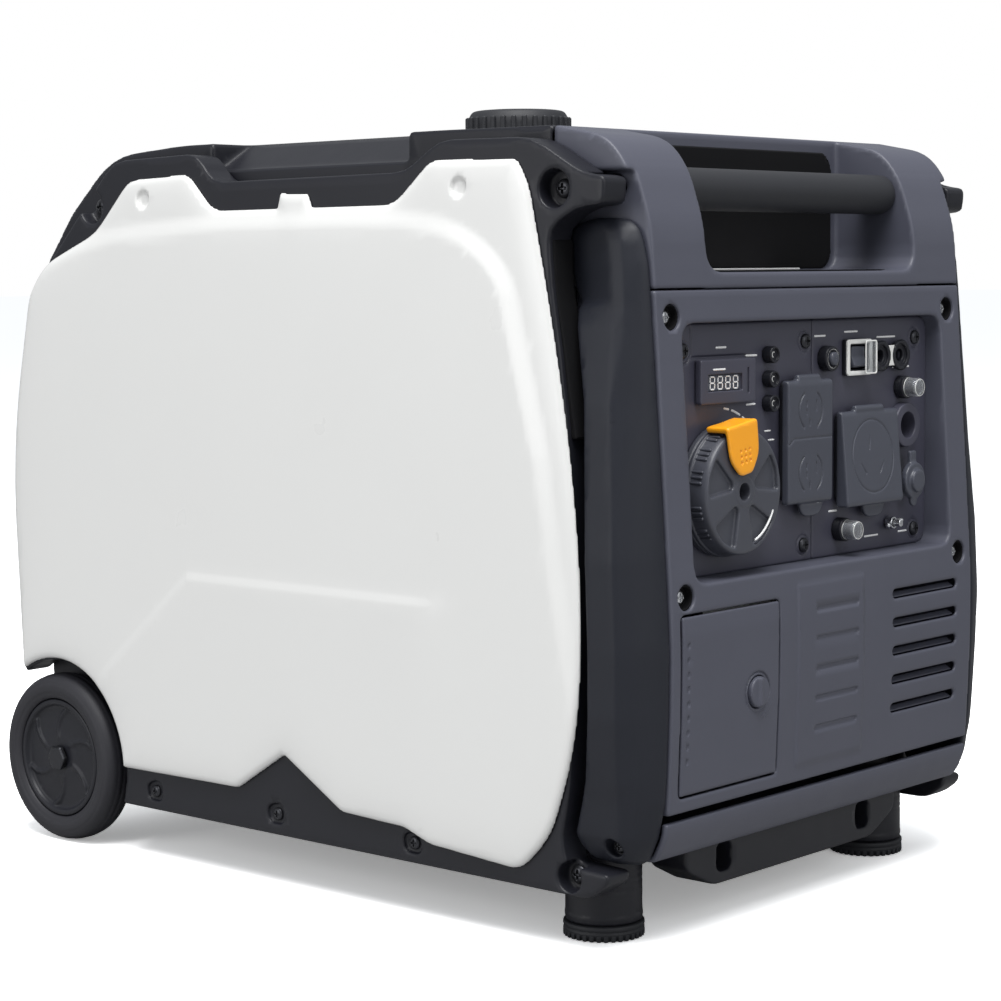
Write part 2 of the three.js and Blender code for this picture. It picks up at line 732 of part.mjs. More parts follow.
// A wheel is drawn round x with its outer face towards +x, and turned about z for the left-hand side.
function wheel(side) {
  const half = WHEEL_WIDTH / 2;
  const bore = AXLE_RADIUS + AXLE_CLEARANCE;
  const seat = RIM_RADIUS - GAP;
  const rim = turned("x", [
    [bore, -half + 1],
    [15, -half + 1],
    [15, -2],
    [seat - 5, -2],
    [seat - 5, -half + 3],
    [seat, -half + 3],
    [seat, half - 3],
    [seat - 4, half - 3],
    [seat - 6, half - 7],
    [18, half - 6],
    [14, half - HUB_SETBACK],
    [bore, half - HUB_SETBACK],
    [bore, -half + 1],
  ]);
  const tyre = turned("x", [
    [RIM_RADIUS, -half + 3],
    [RIM_RADIUS + 4, -half],
    [WHEEL_RADIUS - 6, -half],
    [WHEEL_RADIUS - 1.5, -half + 4],
    [WHEEL_RADIUS, 0],
    [WHEEL_RADIUS - 1.5, half - 4],
    [WHEEL_RADIUS - 6, half],
    [RIM_RADIUS + 4, half],
    [RIM_RADIUS, half - 3],
    [RIM_RADIUS, -half + 3],
  ], 32);
  const group = new THREE.Group();
  group.add(piece("rim_" + sideName(side), rim, FINISHES.frame));
  group.add(piece("tyre_" + sideName(side), tyre, FINISHES.tyre));
  group.position.set(side * (WHEEL_INNER + half), AXLE_Y, WHEEL_RADIUS);
  group.rotation.z = side < 0 ? Math.PI : 0;
  return group;
}

// The axle runs through both bosses of the pan and ends in a hexagon nut on each side.
const AXLE_NUT_RADIUS = 10;
function axle() {
  const end = WHEEL_OUTER - HUB_SETBACK + GAP;
  const nuts = [-1, 1].map((side) => {
    const [low, high] = spanX(side, end, end + HUB_SETBACK - GAP);
    return rod("x", AXLE_Y, WHEEL_RADIUS, AXLE_NUT_RADIUS, low, high, 6);
  });
  return join(rod("x", AXLE_Y, WHEEL_RADIUS, AXLE_RADIUS, -end - 1, end + 1, 24), ...nuts);
}

// The towing handle: a cross grip between the feet on two square arms that slide out under the floor.
function towHandle() {
  const reach = FOOT_X - FOOT_RADIUS - 4;
  const grip = prism(
    "y",
    outline([
      [-reach + 30, TOW_BOTTOM, 6],
      [reach - 30, TOW_BOTTOM, 6],
      [reach, TOW_BOTTOM + 15, 6],
      [reach, FLOOR_HEIGHT - GAP - 1, 2],
      [-reach, FLOOR_HEIGHT - GAP - 1, 2],
      [-reach, TOW_BOTTOM + 15, 6],
    ]),
    TOW_FRONT,
    TOW_FRONT + TOW_DEPTH,
  );
  const arms = [-1, 1].map((side) => {
    const [low, high] = spanX(side, ARM_X - ARM_SIZE / 2, ARM_X + ARM_SIZE / 2);
    return block(low, high, TOW_FRONT + 10, TOW_FRONT + ARM_LENGTH, ARM_TOP - ARM_SIZE, ARM_TOP);
  });
  const half = ARM_X - ARM_SIZE - 2;
  const [front, rear] = [TOW_FRONT + 9, TOW_FRONT + TOW_DEPTH + 1];
  const fingers = block(-half, half, front, rear, TOW_BOTTOM - 6, FLOOR_HEIGHT - ARM_SIZE);
  return cut(join(grip, ...arms), fingers);
}

// ---------------------------------------------------------------- control panel

// Where each control sits: [x, z] on the plates' face.
const above = (height) => RECESS_BOTTOM + height;
const AT = {
  dial: [-96, above(53.5)],
  meter: [-92, above(122)],
  lamps: [-44, above(121.5)],
  duplex: [-8, above(80.5)],
  twistlock: [63, above(66)],
  dcOutlet: [114, above(84)],
  acBreaker: [38, above(17.8)],
  dcBreaker: [113, above(110)],
  reset: [21.5, above(132.5)],
  throttle: [56.5, above(132.3)],
  parallel: [96, above(132.3)],
  ground: [98, above(17.5)],
};
const LAMP_PITCH = 15.6;
const LAMP_HOLE = 4;
const METER_SIZE = [58, 28];
const METER_BODY = [50, 22];
const THROTTLE_SIZE = [30, 24.5];
const THROTTLE_BODY = [22, 18];

// A hole or a body behind the plates: a rectangle centred on the origin.
const centred = (width, height, low, high, softness = 0) =>
  prism("y", rectangle(-width / 2, width / 2, -height / 2, height / 2, softness), low, high);

// The holes of all the controls, made with the bodies' own sizes.
function controlHoles() {
  const through = [-1, PLATE_THICKNESS + 1];
  const holes = {
    dial: rod("y", 0, 0, DIAL_SHAFT_RADIUS + GAP, ...through),
    meter: centred(METER_BODY[0] + 2 * GAP, METER_BODY[1] + 2 * GAP, ...through),
    duplex: centred(DUPLEX_WIDTH - 14 + 2 * GAP, DUPLEX_HEIGHT - 12 + 2 * GAP, ...through),
    twistlock: rod("y", 0, 0, TWISTLOCK_BODY + GAP, ...through, 24),
    dcOutlet: rod("y", 0, 0, DC_BODY + GAP, ...through),
    acBreaker: rod("y", 0, 0, BREAKER_RADIUS - 1.5 + GAP, ...through),
    dcBreaker: rod("y", 0, 0, BREAKER_RADIUS - 1.5 + GAP, ...through),
    reset: rod("y", 0, 0, RESET_RADIUS - 1.5 + GAP, ...through),
    throttle: centred(THROTTLE_BODY[0] + 2 * GAP, THROTTLE_BODY[1] + 2 * GAP, ...through),
    parallel: centred(SOCKET_PITCH + 8 + 2 * GAP, 12 + 2 * GAP, ...through),
    ground: rod("y", 0, 0, STUD_RADIUS + GAP, ...through, 12),
  };
  const placed = Object.entries(holes).map(([name, hole]) => hole.translate([AT[name][0], 0, AT[name][1]]));
  const lamps = [-1, 0, 1].map((i) =>
    rod("y", AT.lamps[0], AT.lamps[1] + i * LAMP_PITCH, LAMP_HOLE, ...through, 16),
  );
  return [...placed, ...lamps];
}

function controlPlate(side) {
  const corner = RECESS_CORNER - GAP;
  const edge = RECESS_HALF_WIDTH - GAP;
  const split = PLATE_SPLIT + side * (GAP / 2);
  const [low, high] = [RECESS_BOTTOM + GAP, RECESS_TOP - GAP];
  const shape =
    side < 0
      ? outline([[-edge, low, corner], [split, low], [split, high], [-edge, high, corner]])
      : outline([[split, low], [edge, low, corner], [edge, high, corner], [split, high]]);
  return cut(prism("y", shape, 0, PLATE_THICKNESS), ...controlHoles());
}

// The run dial: a skirted knob on its shaft.
function runDial() {
  const standoff = 1;
  const face = -DIAL_HEIGHT - standoff;
  const shaftEnd = PLATE_THICKNESS + 14;
  return turned("y", [
    [0, face],
    [DIAL_RADIUS - 1, face],
    [DIAL_RADIUS, face + 1],
    [DIAL_RADIUS + 2.5, -8],
    [DIAL_RADIUS + 2.5, -standoff],
    [DIAL_SHAFT_RADIUS, -standoff],
    [DIAL_SHAFT_RADIUS, shaftEnd],
    [0, shaftEnd],
  ], 32);
}

// The dial's bright tongue: it lies on the face and hooks over the rim.
function dialPointer() {
  const face = -DIAL_HEIGHT - 1 - GAP;
  const rim = DIAL_RADIUS + 2.5 + GAP;
  const end = rim + 1.6;
  const tongue = prism(
    "y",
    outline([[-6, 11, 3], [6, 11, 3], [15, 22, 6], [16, end, 2], [-16, end, 2], [-15, 22, 6]]),
    face - 3,
    face,
  );
  const hook = cut(block(-15, 15, face - 3, -6, rim - 3, end), rod("y", 0, 0, rim, face, 0, 32));
  return join(tongue, hook).rotate([0, -POINTER_TURN, 0]);
}

// A socket contact: a slot sunk into an outlet's face.
const contact = (x, z, width, height) =>
  block(x - width / 2, x + width / 2, -COVER_REST - 1, 9, z - height / 2, z + height / 2);

const OUTLET_FACE = COVER_REST - GAP;
const RECEPTACLE_SPACING = 39;

function duplexOutlet() {
  const body = join(
    centred(DUPLEX_WIDTH - 4, DUPLEX_HEIGHT - 4, -OUTLET_FACE, -GAP, 6),
    centred(DUPLEX_WIDTH - 14, DUPLEX_HEIGHT - 12, -GAP - 0.1, 34),
  );
  const contacts = [-1, 1].flatMap((end) => {
    const z = (end * RECEPTACLE_SPACING) / 2;
    return [contact(-6.5, z + 2, 2, 8), contact(6.5, z + 2, 2, 7), contact(0, z - 9, 5, 5)];
  });
  return cut(body, ...contacts);
}

// A flip cover: a shallow pan that hangs from a hinge barrel along its upper edge, with a finger tab below.
const HINGE_RADIUS = 2.6;
function flipCover(width, height, topDepth, bottomDepth, tab) {
  const [low, high] = [-height / 2, height / 2 - 2];
  const wedge = prism(
    "x",
    outline([
      [-OUTLET_FACE - GAP, low, 1],
      [-OUTLET_FACE - GAP, high, 1],
      [-topDepth, high, 3],
      [-bottomDepth, low, 3],
    ]),
    -width / 2,
    width / 2,
  );
  const inside = prism(
    "x",
    outline([
      [-OUTLET_FACE + 1, low + COVER_WALL],
      [-OUTLET_FACE + 1, high - COVER_WALL],
      [-topDepth + COVER_WALL, high - COVER_WALL],
      [-bottomDepth + COVER_WALL, low + COVER_WALL],
    ]),
    -width / 2 + COVER_WALL,
    width / 2 - COVER_WALL,
  );
  const barrel = rod("x", -OUTLET_FACE - 3.4, high + 1, HINGE_RADIUS, -width / 4, width / 4, 12);
  const finger = prism(
    "y",
    outline([[tab - 14, low + 1], [tab - 10, low - 9, 6], [tab + 10, low - 9, 6], [tab + 14, low + 1]]),
    -OUTLET_FACE - GAP - 3.5,
    -OUTLET_FACE - GAP,
  );
  return join(cut(wedge, inside), barrel, finger);
}
const DUPLEX_COVER_DEPTH = 10;
const TWISTLOCK_TOP_DEPTH = 9;
const TWISTLOCK_BOTTOM_DEPTH = 14.5;
const TWISTLOCK_BODY = 25;
const DC_BODY = 11;
const DC_RADIUS = 15.5;

function twistlockOutlet() {
  const face = join(
    centred(TWISTLOCK_WIDTH - 5, TWISTLOCK_HEIGHT - 5, -OUTLET_FACE, -GAP, 6),
    rod("y", 0, 0, TWISTLOCK_BODY, -GAP - 0.1, 38, 24),
  );
  const slots = [90, 210, 330].map((degrees) => {
    const angle = THREE.MathUtils.degToRad(degrees);
    return contact(15 * Math.cos(angle), 15 * Math.sin(angle), 5, 5);
  });
  return cut(face, ...slots);
}

const DC_HEIGHT = 7;
const dcOutlet = () =>
  cut(
    join(rod("y", 0, 0, DC_RADIUS, -DC_HEIGHT, -GAP, 24), rod("y", 0, 0, DC_BODY, -GAP - 0.1, 36)),
    rod("y", 0, 0, DC_BODY - 2, -DC_HEIGHT - 1, 26, 20),
  );

// The outlet's rubber cap hangs open on its strap below the outlet, with its plug outwards.
const CAP_HANG = 38; // outlet's centre to the middle of the hanging cap
const DC_HINGE_DROP = DC_RADIUS + 3;
const DC_CAP_RADIUS = 12.5;
function dcCap() {
  const rest = -DC_HEIGHT - 1;
  const tab = outline([
    [-5, -CAP_HANG - 10],
    [5, -CAP_HANG - 10],
    [3, -CAP_HANG - 18, 3],
    [-3, -CAP_HANG - 18, 3],
  ]);
  return join(
    rod("y", 0, -CAP_HANG, DC_CAP_RADIUS, rest - 5, rest),
    rod("y", 0, -CAP_HANG, DC_BODY - 3, rest - 8, rest - 1, 16),
    block(-4, 4, rest - 3, rest, -CAP_HANG + 8, -DC_HINGE_DROP + 1),
    prism("y", tab, rest - 4, rest - 1),
  );
}

// A push-to-reset breaker: a collar with its body behind the plate, a button in it and a clear boot
// round the button.
const BUTTON_TRAVEL = 3;
const breaker = (radius) =>
  cut(
    join(
      rod("y", 0, 0, radius, -BREAKER_HEIGHT, -GAP, 18),
      rod("y", 0, 0, radius - 1.5, -GAP - 0.1, 28, 18),
    ),
    rod("y", 0, 0, BUTTON_RADIUS + BUTTON_CLEARANCE, -BREAKER_HEIGHT - 1, BUTTON_TRAVEL + 1, 16),
  );
const breakerButton = () => rod("y", 0, 0, BUTTON_RADIUS, -BOOT_HEIGHT + 2, 0, 16);
const breakerBoot = () =>
  cut(
    rod("y", 0, 0, BOOT_RADIUS, -BOOT_HEIGHT, -BREAKER_HEIGHT - GAP, 18),
    rod("y", 0, 0, BUTTON_RADIUS + BUTTON_CLEARANCE, -BOOT_HEIGHT + 1.2, -BREAKER_HEIGHT, 16),
  );
const resetSwitch = () => breaker(RESET_RADIUS);
const resetButton = () => rod("y", 0, 0, BUTTON_RADIUS, -BREAKER_HEIGHT - BUTTON_TRAVEL, 0, 16);

// The throttle switch: a frame with a rocker that rests pressed in at its upper end.
const ROCKER_TILT = 10;
function throttleFrame() {
  const [width, height] = THROTTLE_SIZE;
  return cut(
    join(centred(width, height, -3.4, -GAP, 1.5), centred(...THROTTLE_BODY, -GAP - 0.1, 22)),
    centred(THROTTLE_BODY[0] - 5, THROTTLE_BODY[1] - 2, -4, 9),
  );
}
function throttleRocker() {
  const half = THROTTLE_BODY[1] / 2 - 2.1;
  const shape = outline([
    [-5, half],
    [0, half + 0.4],
    [5, half - 1.5],
    [5, -half + 1.5],
    [0, -half - 0.4],
    [-5, -half],
    [-3.4, 0],
  ]);
  const width = THROTTLE_BODY[0] - 6;
  return prism("x", shape, -width / 2, width / 2).rotate([-ROCKER_TILT, 0, 0]);
}

// The pair of sockets for coupling two generators: two wells on one figure-of-eight base.
function parallelOutlets() {
  const wells = [-0.5, 0.5].map((i) => i * SOCKET_PITCH);
  const base = wells.map((x) => rod("y", x, 0, SOCKET_RADIUS + 1.2, -3, -GAP, 20));
  return cut(
    join(...base, block(-8, 8, -3, -GAP, -5, 5), centred(SOCKET_PITCH + 8, 12, -GAP - 0.1, 26)),
    ...wells.map((x) => rod("y", x, 0, 4.4, -4, 14, 14)),
  );
}

const groundStud = () =>
  join(
    rod("y", 0, 0, STUD_RADIUS, -12, PLATE_THICKNESS + 8, 12),
    rod("y", 0, 0, 6, PLATE_THICKNESS + GAP, PLATE_THICKNESS + 5, 6),
  );
const groundNut = () =>
  cut(
    join(rod("y", 0, 0, 4.6, -6.5, -1.2, 14), block(-9.5, 9.5, -8.5, -4, -1.2, 1.2)),
    rod("y", 0, 0, STUD_RADIUS + GAP, -10, 0, 12),
  );

const displayMeter = () =>
  join(centred(...METER_SIZE, -5.5, -GAP, 1.5), centred(...METER_BODY, -GAP - 0.1, 20));

function indicatorLamps() {
  const lamps = [-1, 0, 1].flatMap((i) => [
    rod("y", 0, i * LAMP_PITCH, LAMP_HOLE + 1.5, -7, -GAP, 16),
    rod("y", 0, i * LAMP_PITCH, LAMP_HOLE - GAP, -GAP - 0.1, PLATE_THICKNESS + 2, 16),
  ]);
  return join(...lamps, centred(10, 2 * LAMP_PITCH + 10, PLATE_THICKNESS + GAP, PLATE_THICKNESS + 4));
}

// All the controls, each drawn round its own centre on the plates' face and set down at its place.
function controlPanel() {
  const group = new THREE.Group();
  group.position.y = PLATE_FACE;
  const place = (name, body, material, at) => {
    const mesh = piece(name, body, material);
    mesh.position.set(at[0], 0, at[1]);
    group.add(mesh);
  };
  group.add(piece("control_panel_left", controlPlate(-1), FINISHES.plate));
  group.add(piece("control_panel_right", controlPlate(1), FINISHES.plate));
  place("run_dial", runDial(), FINISHES.knob, AT.dial);
  place("dial_pointer", dialPointer(), FINISHES.orange, AT.dial);
  place("display_meter", displayMeter(), FINISHES.frame, AT.meter);
  place("indicator_lamps", indicatorLamps(), FINISHES.frame, AT.lamps);
  place("duplex_outlet", duplexOutlet(), FINISHES.frame, AT.duplex);
  place(
    "duplex_cover",
    flipCover(DUPLEX_WIDTH, DUPLEX_HEIGHT, DUPLEX_COVER_DEPTH, DUPLEX_COVER_DEPTH, 5),
    FINISHES.plate,
    AT.duplex,
  );
  place("twistlock_outlet", twistlockOutlet(), FINISHES.frame, AT.twistlock);
  place(
    "twistlock_cover",
    flipCover(TWISTLOCK_WIDTH, TWISTLOCK_HEIGHT, TWISTLOCK_TOP_DEPTH, TWISTLOCK_BOTTOM_DEPTH, 8),
    FINISHES.plate,
    AT.twistlock,
  );
  place("dc_outlet", dcOutlet(), FINISHES.plate, AT.dcOutlet);
  place("dc_cap", dcCap(), FINISHES.rubber, AT.dcOutlet);
  for (const [name, at] of [["ac_breaker", AT.acBreaker], ["dc_breaker", AT.dcBreaker]]) {
    place(name, breaker(BREAKER_RADIUS), FINISHES.frame, at);
    place(name + "_button", breakerButton(), FINISHES.pale, at);
    place(name + "_boot", breakerBoot(), FINISHES.clear, at);
  }
  place("reset_switch", resetSwitch(), FINISHES.frame, AT.reset);
  place("reset_button", resetButton(), FINISHES.clear, AT.reset);
  place("throttle_frame", throttleFrame(), FINISHES.pale, AT.throttle);
  place("throttle_rocker", throttleRocker(), FINISHES.clear, AT.throttle);
  place("parallel_outlets", parallelOutlets(), FINISHES.frame, AT.parallel);
  place("ground_stud", groundStud(), FINISHES.steel, AT.ground);
  place("ground_nut", groundNut(), FINISHES.steel, AT.ground);
  return group;
}

// ---------------------------------------------------------------- service door

const LATCH_X = DOOR_LEFT + DOOR_WIDTH - LATCH_EDGE;
const LATCH_Z = DOOR_BOTTOM + DOOR_HEIGHT / 2;
function maintenanceDoor() {
  const profile = [DOOR_BOTTOM, 150, KNEE_HEIGHT, DOOR_BOTTOM + DOOR_HEIGHT];
  const shape = outline([
    ...profile.map((z) => [frontY(z), z]),
    ...profile.toReversed().map((z) => [frontY(z) + DOOR_THICKNESS, z]),
  ].reverse());
  return cut(
    prism("x", shape, DOOR_LEFT, DOOR_LEFT + DOOR_WIDTH),
    rod("y", LATCH_X, LATCH_Z, LATCH_RADIUS - 2 + GAP, -5, 12, 24),
  );
}

// The quarter-turn latch: a round boss through the door with a cam behind it.
function doorLatch() {
  const behind = frontY(LATCH_Z) + DOOR_THICKNESS;
  return join(
    rod("y", LATCH_X, LATCH_Z, LATCH_RADIUS - 2, -1.6, behind + 1, 24),
    block(LATCH_X - 5, LATCH_X + 5, behind + 1, behind + 4, LATCH_Z - 8, LATCH_Z + 16),
    block(LATCH_X - 1.6, LATCH_X + 1.6, -LATCH_PROUD, -1, LATCH_Z - 9, LATCH_Z + 9),
  );
}

// ---------------------------------------------------------------- fuel, engine and electrics

// The cap is drawn round its own axis: a ribbed cup over the filler neck.
const CAP_RIBS = 15;
const CAP_RIB_RADIUS = 2.2;
function fuelCap() {
  const rim = 1.2;
  const mouth = NECK_RADIUS + NECK_CLEARANCE;
  const cup = turned("z", [
    [mouth, rim],
    [CAP_RADIUS - 1.5, rim],
    [CAP_RADIUS - 1.5, CAP_HEIGHT - 6],
    [CAP_RADIUS - 5, CAP_HEIGHT - 1],
    [CAP_RADIUS - 12, CAP_HEIGHT],
    [0, CAP_HEIGHT],
    [0, CAP_HEIGHT - 5],
    [mouth, CAP_HEIGHT - 5],
    [mouth, rim],
  ], 30);
  const pitch = CAP_RADIUS - CAP_RIB_RADIUS;
  const ribs = Array.from({ length: CAP_RIBS }, (_, i) => {
    const angle = (i / CAP_RIBS) * 2 * Math.PI;
    const [x, y] = [pitch * Math.cos(angle), pitch * Math.sin(angle)];
    return rod("z", x, y, CAP_RIB_RADIUS, rim, CAP_HEIGHT - 6, 6);
  });
  return join(cup, ...ribs);
}

function fuelTank() {
  const tankTop = top(TANK_TOP_DROP);
  const [front, rear] = [CAP_Y - TANK_LENGTH / 2, CAP_Y + TANK_LENGTH / 2];
  const tub = (inset) =>
    prism(
      "z",
      rectangle(-TANK_HALF_WIDTH + inset, TANK_HALF_WIDTH - inset, front + inset, rear - inset, 24),
      tankTop - TANK_HEIGHT + inset,
      tankTop - inset,
    );
  return cut(
    join(tub(0), rod("z", 0, CAP_Y, NECK_RADIUS, tankTop - 1, NECK_TOP - GAP - 2, 24)),
    tub(WALL),
    rod("z", 0, CAP_Y, NECK_RADIUS - NECK_WALL, tankTop - WALL - 1, NECK_TOP + 1, 24),
  );
}

// The engine: a crankcase on two rails, a finned cylinder on top of it and the shaft's bore in front.
const ENGINE_FINS = { count: 7, pitch: 14, thickness: 6 };
function engine() {
  const rear = ENGINE_FRONT + ENGINE_LENGTH;
  const pan = FLOOR_HEIGHT + WALL + GAP;
  const fins = Array.from({ length: ENGINE_FINS.count }, (_, i) => {
    const z = CRANK_HEIGHT + 70 + i * ENGINE_FINS.pitch;
    return block(-62, 62, ENGINE_FRONT + 30, rear - 10, z, z + ENGINE_FINS.thickness);
  });
  return cut(
    join(
      block(-75, 75, ENGINE_FRONT, rear, pan + 24, CRANK_HEIGHT + 60),
      block(-48, 48, ENGINE_FRONT + 40, rear - 20, CRANK_HEIGHT + 50, CRANK_HEIGHT + 168),
      block(-85, -60, ENGINE_FRONT + 10, rear - 10, pan, pan + 30),
      block(60, 85, ENGINE_FRONT + 10, rear - 10, pan, pan + 30),
      ...fins,
    ),
    rod("y", 0, CRANK_HEIGHT, CRANK_RADIUS + GAP, ENGINE_FRONT - 1, ENGINE_FRONT + 60),
  );
}

// The alternator: magnets in a drum on the crankshaft, round a wound stator fixed to the engine.
function alternatorRotor() {
  const shaftEnd = ROTOR_LENGTH + 60;
  return turned("y", [
    [0, 0],
    [ROTOR_RADIUS, 0],
    [ROTOR_RADIUS, ROTOR_LENGTH],
    [ROTOR_RADIUS - 9, ROTOR_LENGTH],
    [ROTOR_RADIUS - 9, 6],
    [CRANK_RADIUS, 6],
    [CRANK_RADIUS, shaftEnd],
    [0, shaftEnd],
  ], 30);
}
const ROTOR_FRONT = ENGINE_FRONT - ROTOR_LENGTH - 6;
const alternatorStator = () =>
  turned("y", [
    [22, ROTOR_FRONT + 14],
    [STATOR_RADIUS, ROTOR_FRONT + 14],
    [STATOR_RADIUS, ENGINE_FRONT - GAP],
    [22, ENGINE_FRONT - GAP],
    [22, ROTOR_FRONT + 14],
  ], 24);

const muffler = () =>
  join(
    prism("z", rectangle(-20, 150, back(120), back(36), 20), TAIL_Z - 60, TAIL_Z + 50),
    rod("y", TAIL_X, TAIL_Z, TAIL_RADIUS, back(40), back(6), 18),
  );

// The inverter stands behind the louvres: a finned box.
const INVERTER_FINS = { count: 9, pitch: 16, thickness: 5 };
function inverterModule() {
  const [low, high] = [FLOOR_HEIGHT + WALL + GAP, FLOOR_HEIGHT + 145];
  const fins = Array.from({ length: INVERTER_FINS.count }, (_, i) => {
    const x = 8 + i * INVERTER_FINS.pitch;
    return block(x, x + INVERTER_FINS.thickness, 150, 172, low + 10, high - 10);
  });
  return join(block(-10, 160, 100, 151, low, high), ...fins);
}

const battery = () =>
  join(
    block(-160, -75, 105, 175, FLOOR_HEIGHT + WALL + GAP, FLOOR_HEIGHT + 98),
    rod("z", -148, 118, 5, FLOOR_HEIGHT + 97, FLOOR_HEIGHT + 106, 12),
    rod("z", -88, 118, 5, FLOOR_HEIGHT + 97, FLOOR_HEIGHT + 106, 12),
  );

function airFilter() {
  const plan = rectangle(98, 168, ENGINE_FRONT, ENGINE_FRONT + 110, 12);
  return join(
    prism("z", plan, CRANK_HEIGHT + 20, CRANK_HEIGHT + 130),
    rod("x", ENGINE_FRONT + 90, CRANK_HEIGHT + 60, 14, 76, 99, 16),
  );
}

// ---------------------------------------------------------------- the generator

const generator = new THREE.Group();
for (const side of [-1, 1]) {
  generator.add(piece("side_frame_" + sideName(side), sideFrame(side), FINISHES.frame));
  generator.add(piece("side_panel_" + sideName(side), sidePanel(side), FINISHES.white));
  generator.add(piece("corner_guard_" + sideName(side), cornerGuard(side), FINISHES.shell));
  generator.add(foot(side));
  generator.add(wheel(side));
}
generator.add(
  piece("base_pan", basePan(), FINISHES.frame),
  piece("front_fascia", frontFascia(), FINISHES.shell),
  piece("front_sill", frontSill(), FINISHES.shell),
  piece("handle_housing", handleHousing(), FINISHES.shell),
  piece("top_cover", topCover(), FINISHES.frame),
  piece("rear_shell", rearShell(), FINISHES.frame),
  piece("handle_tube", handleTube(), FINISHES.steel),
  piece("grip_sleeve", gripSleeve(), FINISHES.rubber),
  piece("axle", axle(), FINISHES.steel),
  piece("tow_handle", towHandle(), FINISHES.frame),
  piece("maintenance_door", maintenanceDoor(), FINISHES.shell),
  piece("door_latch", doorLatch(), FINISHES.shell),
  piece("fuel_tank", fuelTank(), FINISHES.tank),
  piece("engine", engine(), FINISHES.cast),
  piece("alternator_stator", alternatorStator().translate([0, 0, CRANK_HEIGHT]), FINISHES.copper),
  piece("muffler", muffler(), FINISHES.steel),
  piece("inverter_module", inverterModule(), FINISHES.cast),
  piece("battery", battery(), FINISHES.rubber),
  piece("air_filter", airFilter(), FINISHES.tank),
  controlPanel(),
);

const cap = piece("fuel_cap", fuelCap(), FINISHES.rubber);
cap.position.set(0, CAP_Y, TOP_HEIGHT);
const rotor = piece("alternator_rotor", alternatorRotor(), FINISHES.steel);
rotor.position.set(0, ROTOR_FRONT, CRANK_HEIGHT);
generator.add(cap, rotor);

// The origin is the middle of the footprint, from the latch's grip to the back of the tyres.
const part = new THREE.Group();
generator.position.y = -(REARMOST - LATCH_PROUD) / 2;
part.add(generator);

export default part;
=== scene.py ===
"""A wheeled inverter generator: its moulded casing, controls and running gear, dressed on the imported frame.

Sizes are in millimetres. y is measured back from the foot of the front face and z up from the ground; the
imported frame's own origin lies FRONT behind that face, and pieces are moved there when they are cast.
"""

import json
import logging
import math
from dataclasses import dataclass, field
from enum import Enum
from typing import Callable, Sequence

import bpy
import numpy as np
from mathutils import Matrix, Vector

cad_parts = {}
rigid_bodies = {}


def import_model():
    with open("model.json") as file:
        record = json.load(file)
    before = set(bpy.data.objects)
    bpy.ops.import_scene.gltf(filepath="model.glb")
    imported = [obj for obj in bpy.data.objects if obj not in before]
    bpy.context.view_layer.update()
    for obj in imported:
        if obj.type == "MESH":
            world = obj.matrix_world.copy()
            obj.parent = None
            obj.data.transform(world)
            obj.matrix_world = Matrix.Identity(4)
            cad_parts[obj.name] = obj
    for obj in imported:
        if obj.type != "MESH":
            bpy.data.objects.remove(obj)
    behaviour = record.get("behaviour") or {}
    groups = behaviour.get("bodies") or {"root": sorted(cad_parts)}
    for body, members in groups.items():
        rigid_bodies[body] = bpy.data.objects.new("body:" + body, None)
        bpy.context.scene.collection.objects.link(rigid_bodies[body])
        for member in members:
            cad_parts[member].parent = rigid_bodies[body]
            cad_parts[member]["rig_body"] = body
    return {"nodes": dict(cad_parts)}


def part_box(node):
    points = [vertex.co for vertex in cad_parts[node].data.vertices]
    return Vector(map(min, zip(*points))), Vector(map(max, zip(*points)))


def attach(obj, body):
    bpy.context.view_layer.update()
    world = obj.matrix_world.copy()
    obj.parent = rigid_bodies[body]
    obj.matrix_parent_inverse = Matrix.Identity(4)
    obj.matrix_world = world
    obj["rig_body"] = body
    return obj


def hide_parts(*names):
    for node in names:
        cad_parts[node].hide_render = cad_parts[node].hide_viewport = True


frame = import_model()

import openvdb
from mathutils import Matrix, Vector

log = logging.getLogger("generator")
Array = np.ndarray
Corner = Sequence[float]

MM = 0.001
BAND = 5.0  # voxels of distance kept on each side of a surface
SAMPLE_STEP = 0.7  # voxels between the two distances that a normal is taken from
ROUNDING_TAIL = 2.5  # how far the softening reaches, in its own radii
COAT_ROUGHNESS = 0.12
BUMP_STRENGTH = 0.6
POLISH_SIZE = 0.35  # size of the patches of polish, as a share of the colour's patches
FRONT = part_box("front_fascia")[0].y / MM
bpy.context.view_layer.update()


# ---------------------------------------------------------------- finishes


class Slot(Enum):
    """The record's material slots."""

    SHELL = "shell_charcoal"
    FRAME = "frame_black"
    PANEL = "panel_white"
    RUBBER = "rubber_black"
    TYRE = "tyre_rubber"
    PLATE = "plate_grey"
    KNOB = "knob_grey"
    ORANGE = "lever_orange"
    CLEAR = "clear_cover"
    SWITCH = "switch_white"
    STEEL = "steel_bright"
    CAST = "cast_alloy"
    COPPER = "winding_copper"
    TANK = "tank_black"


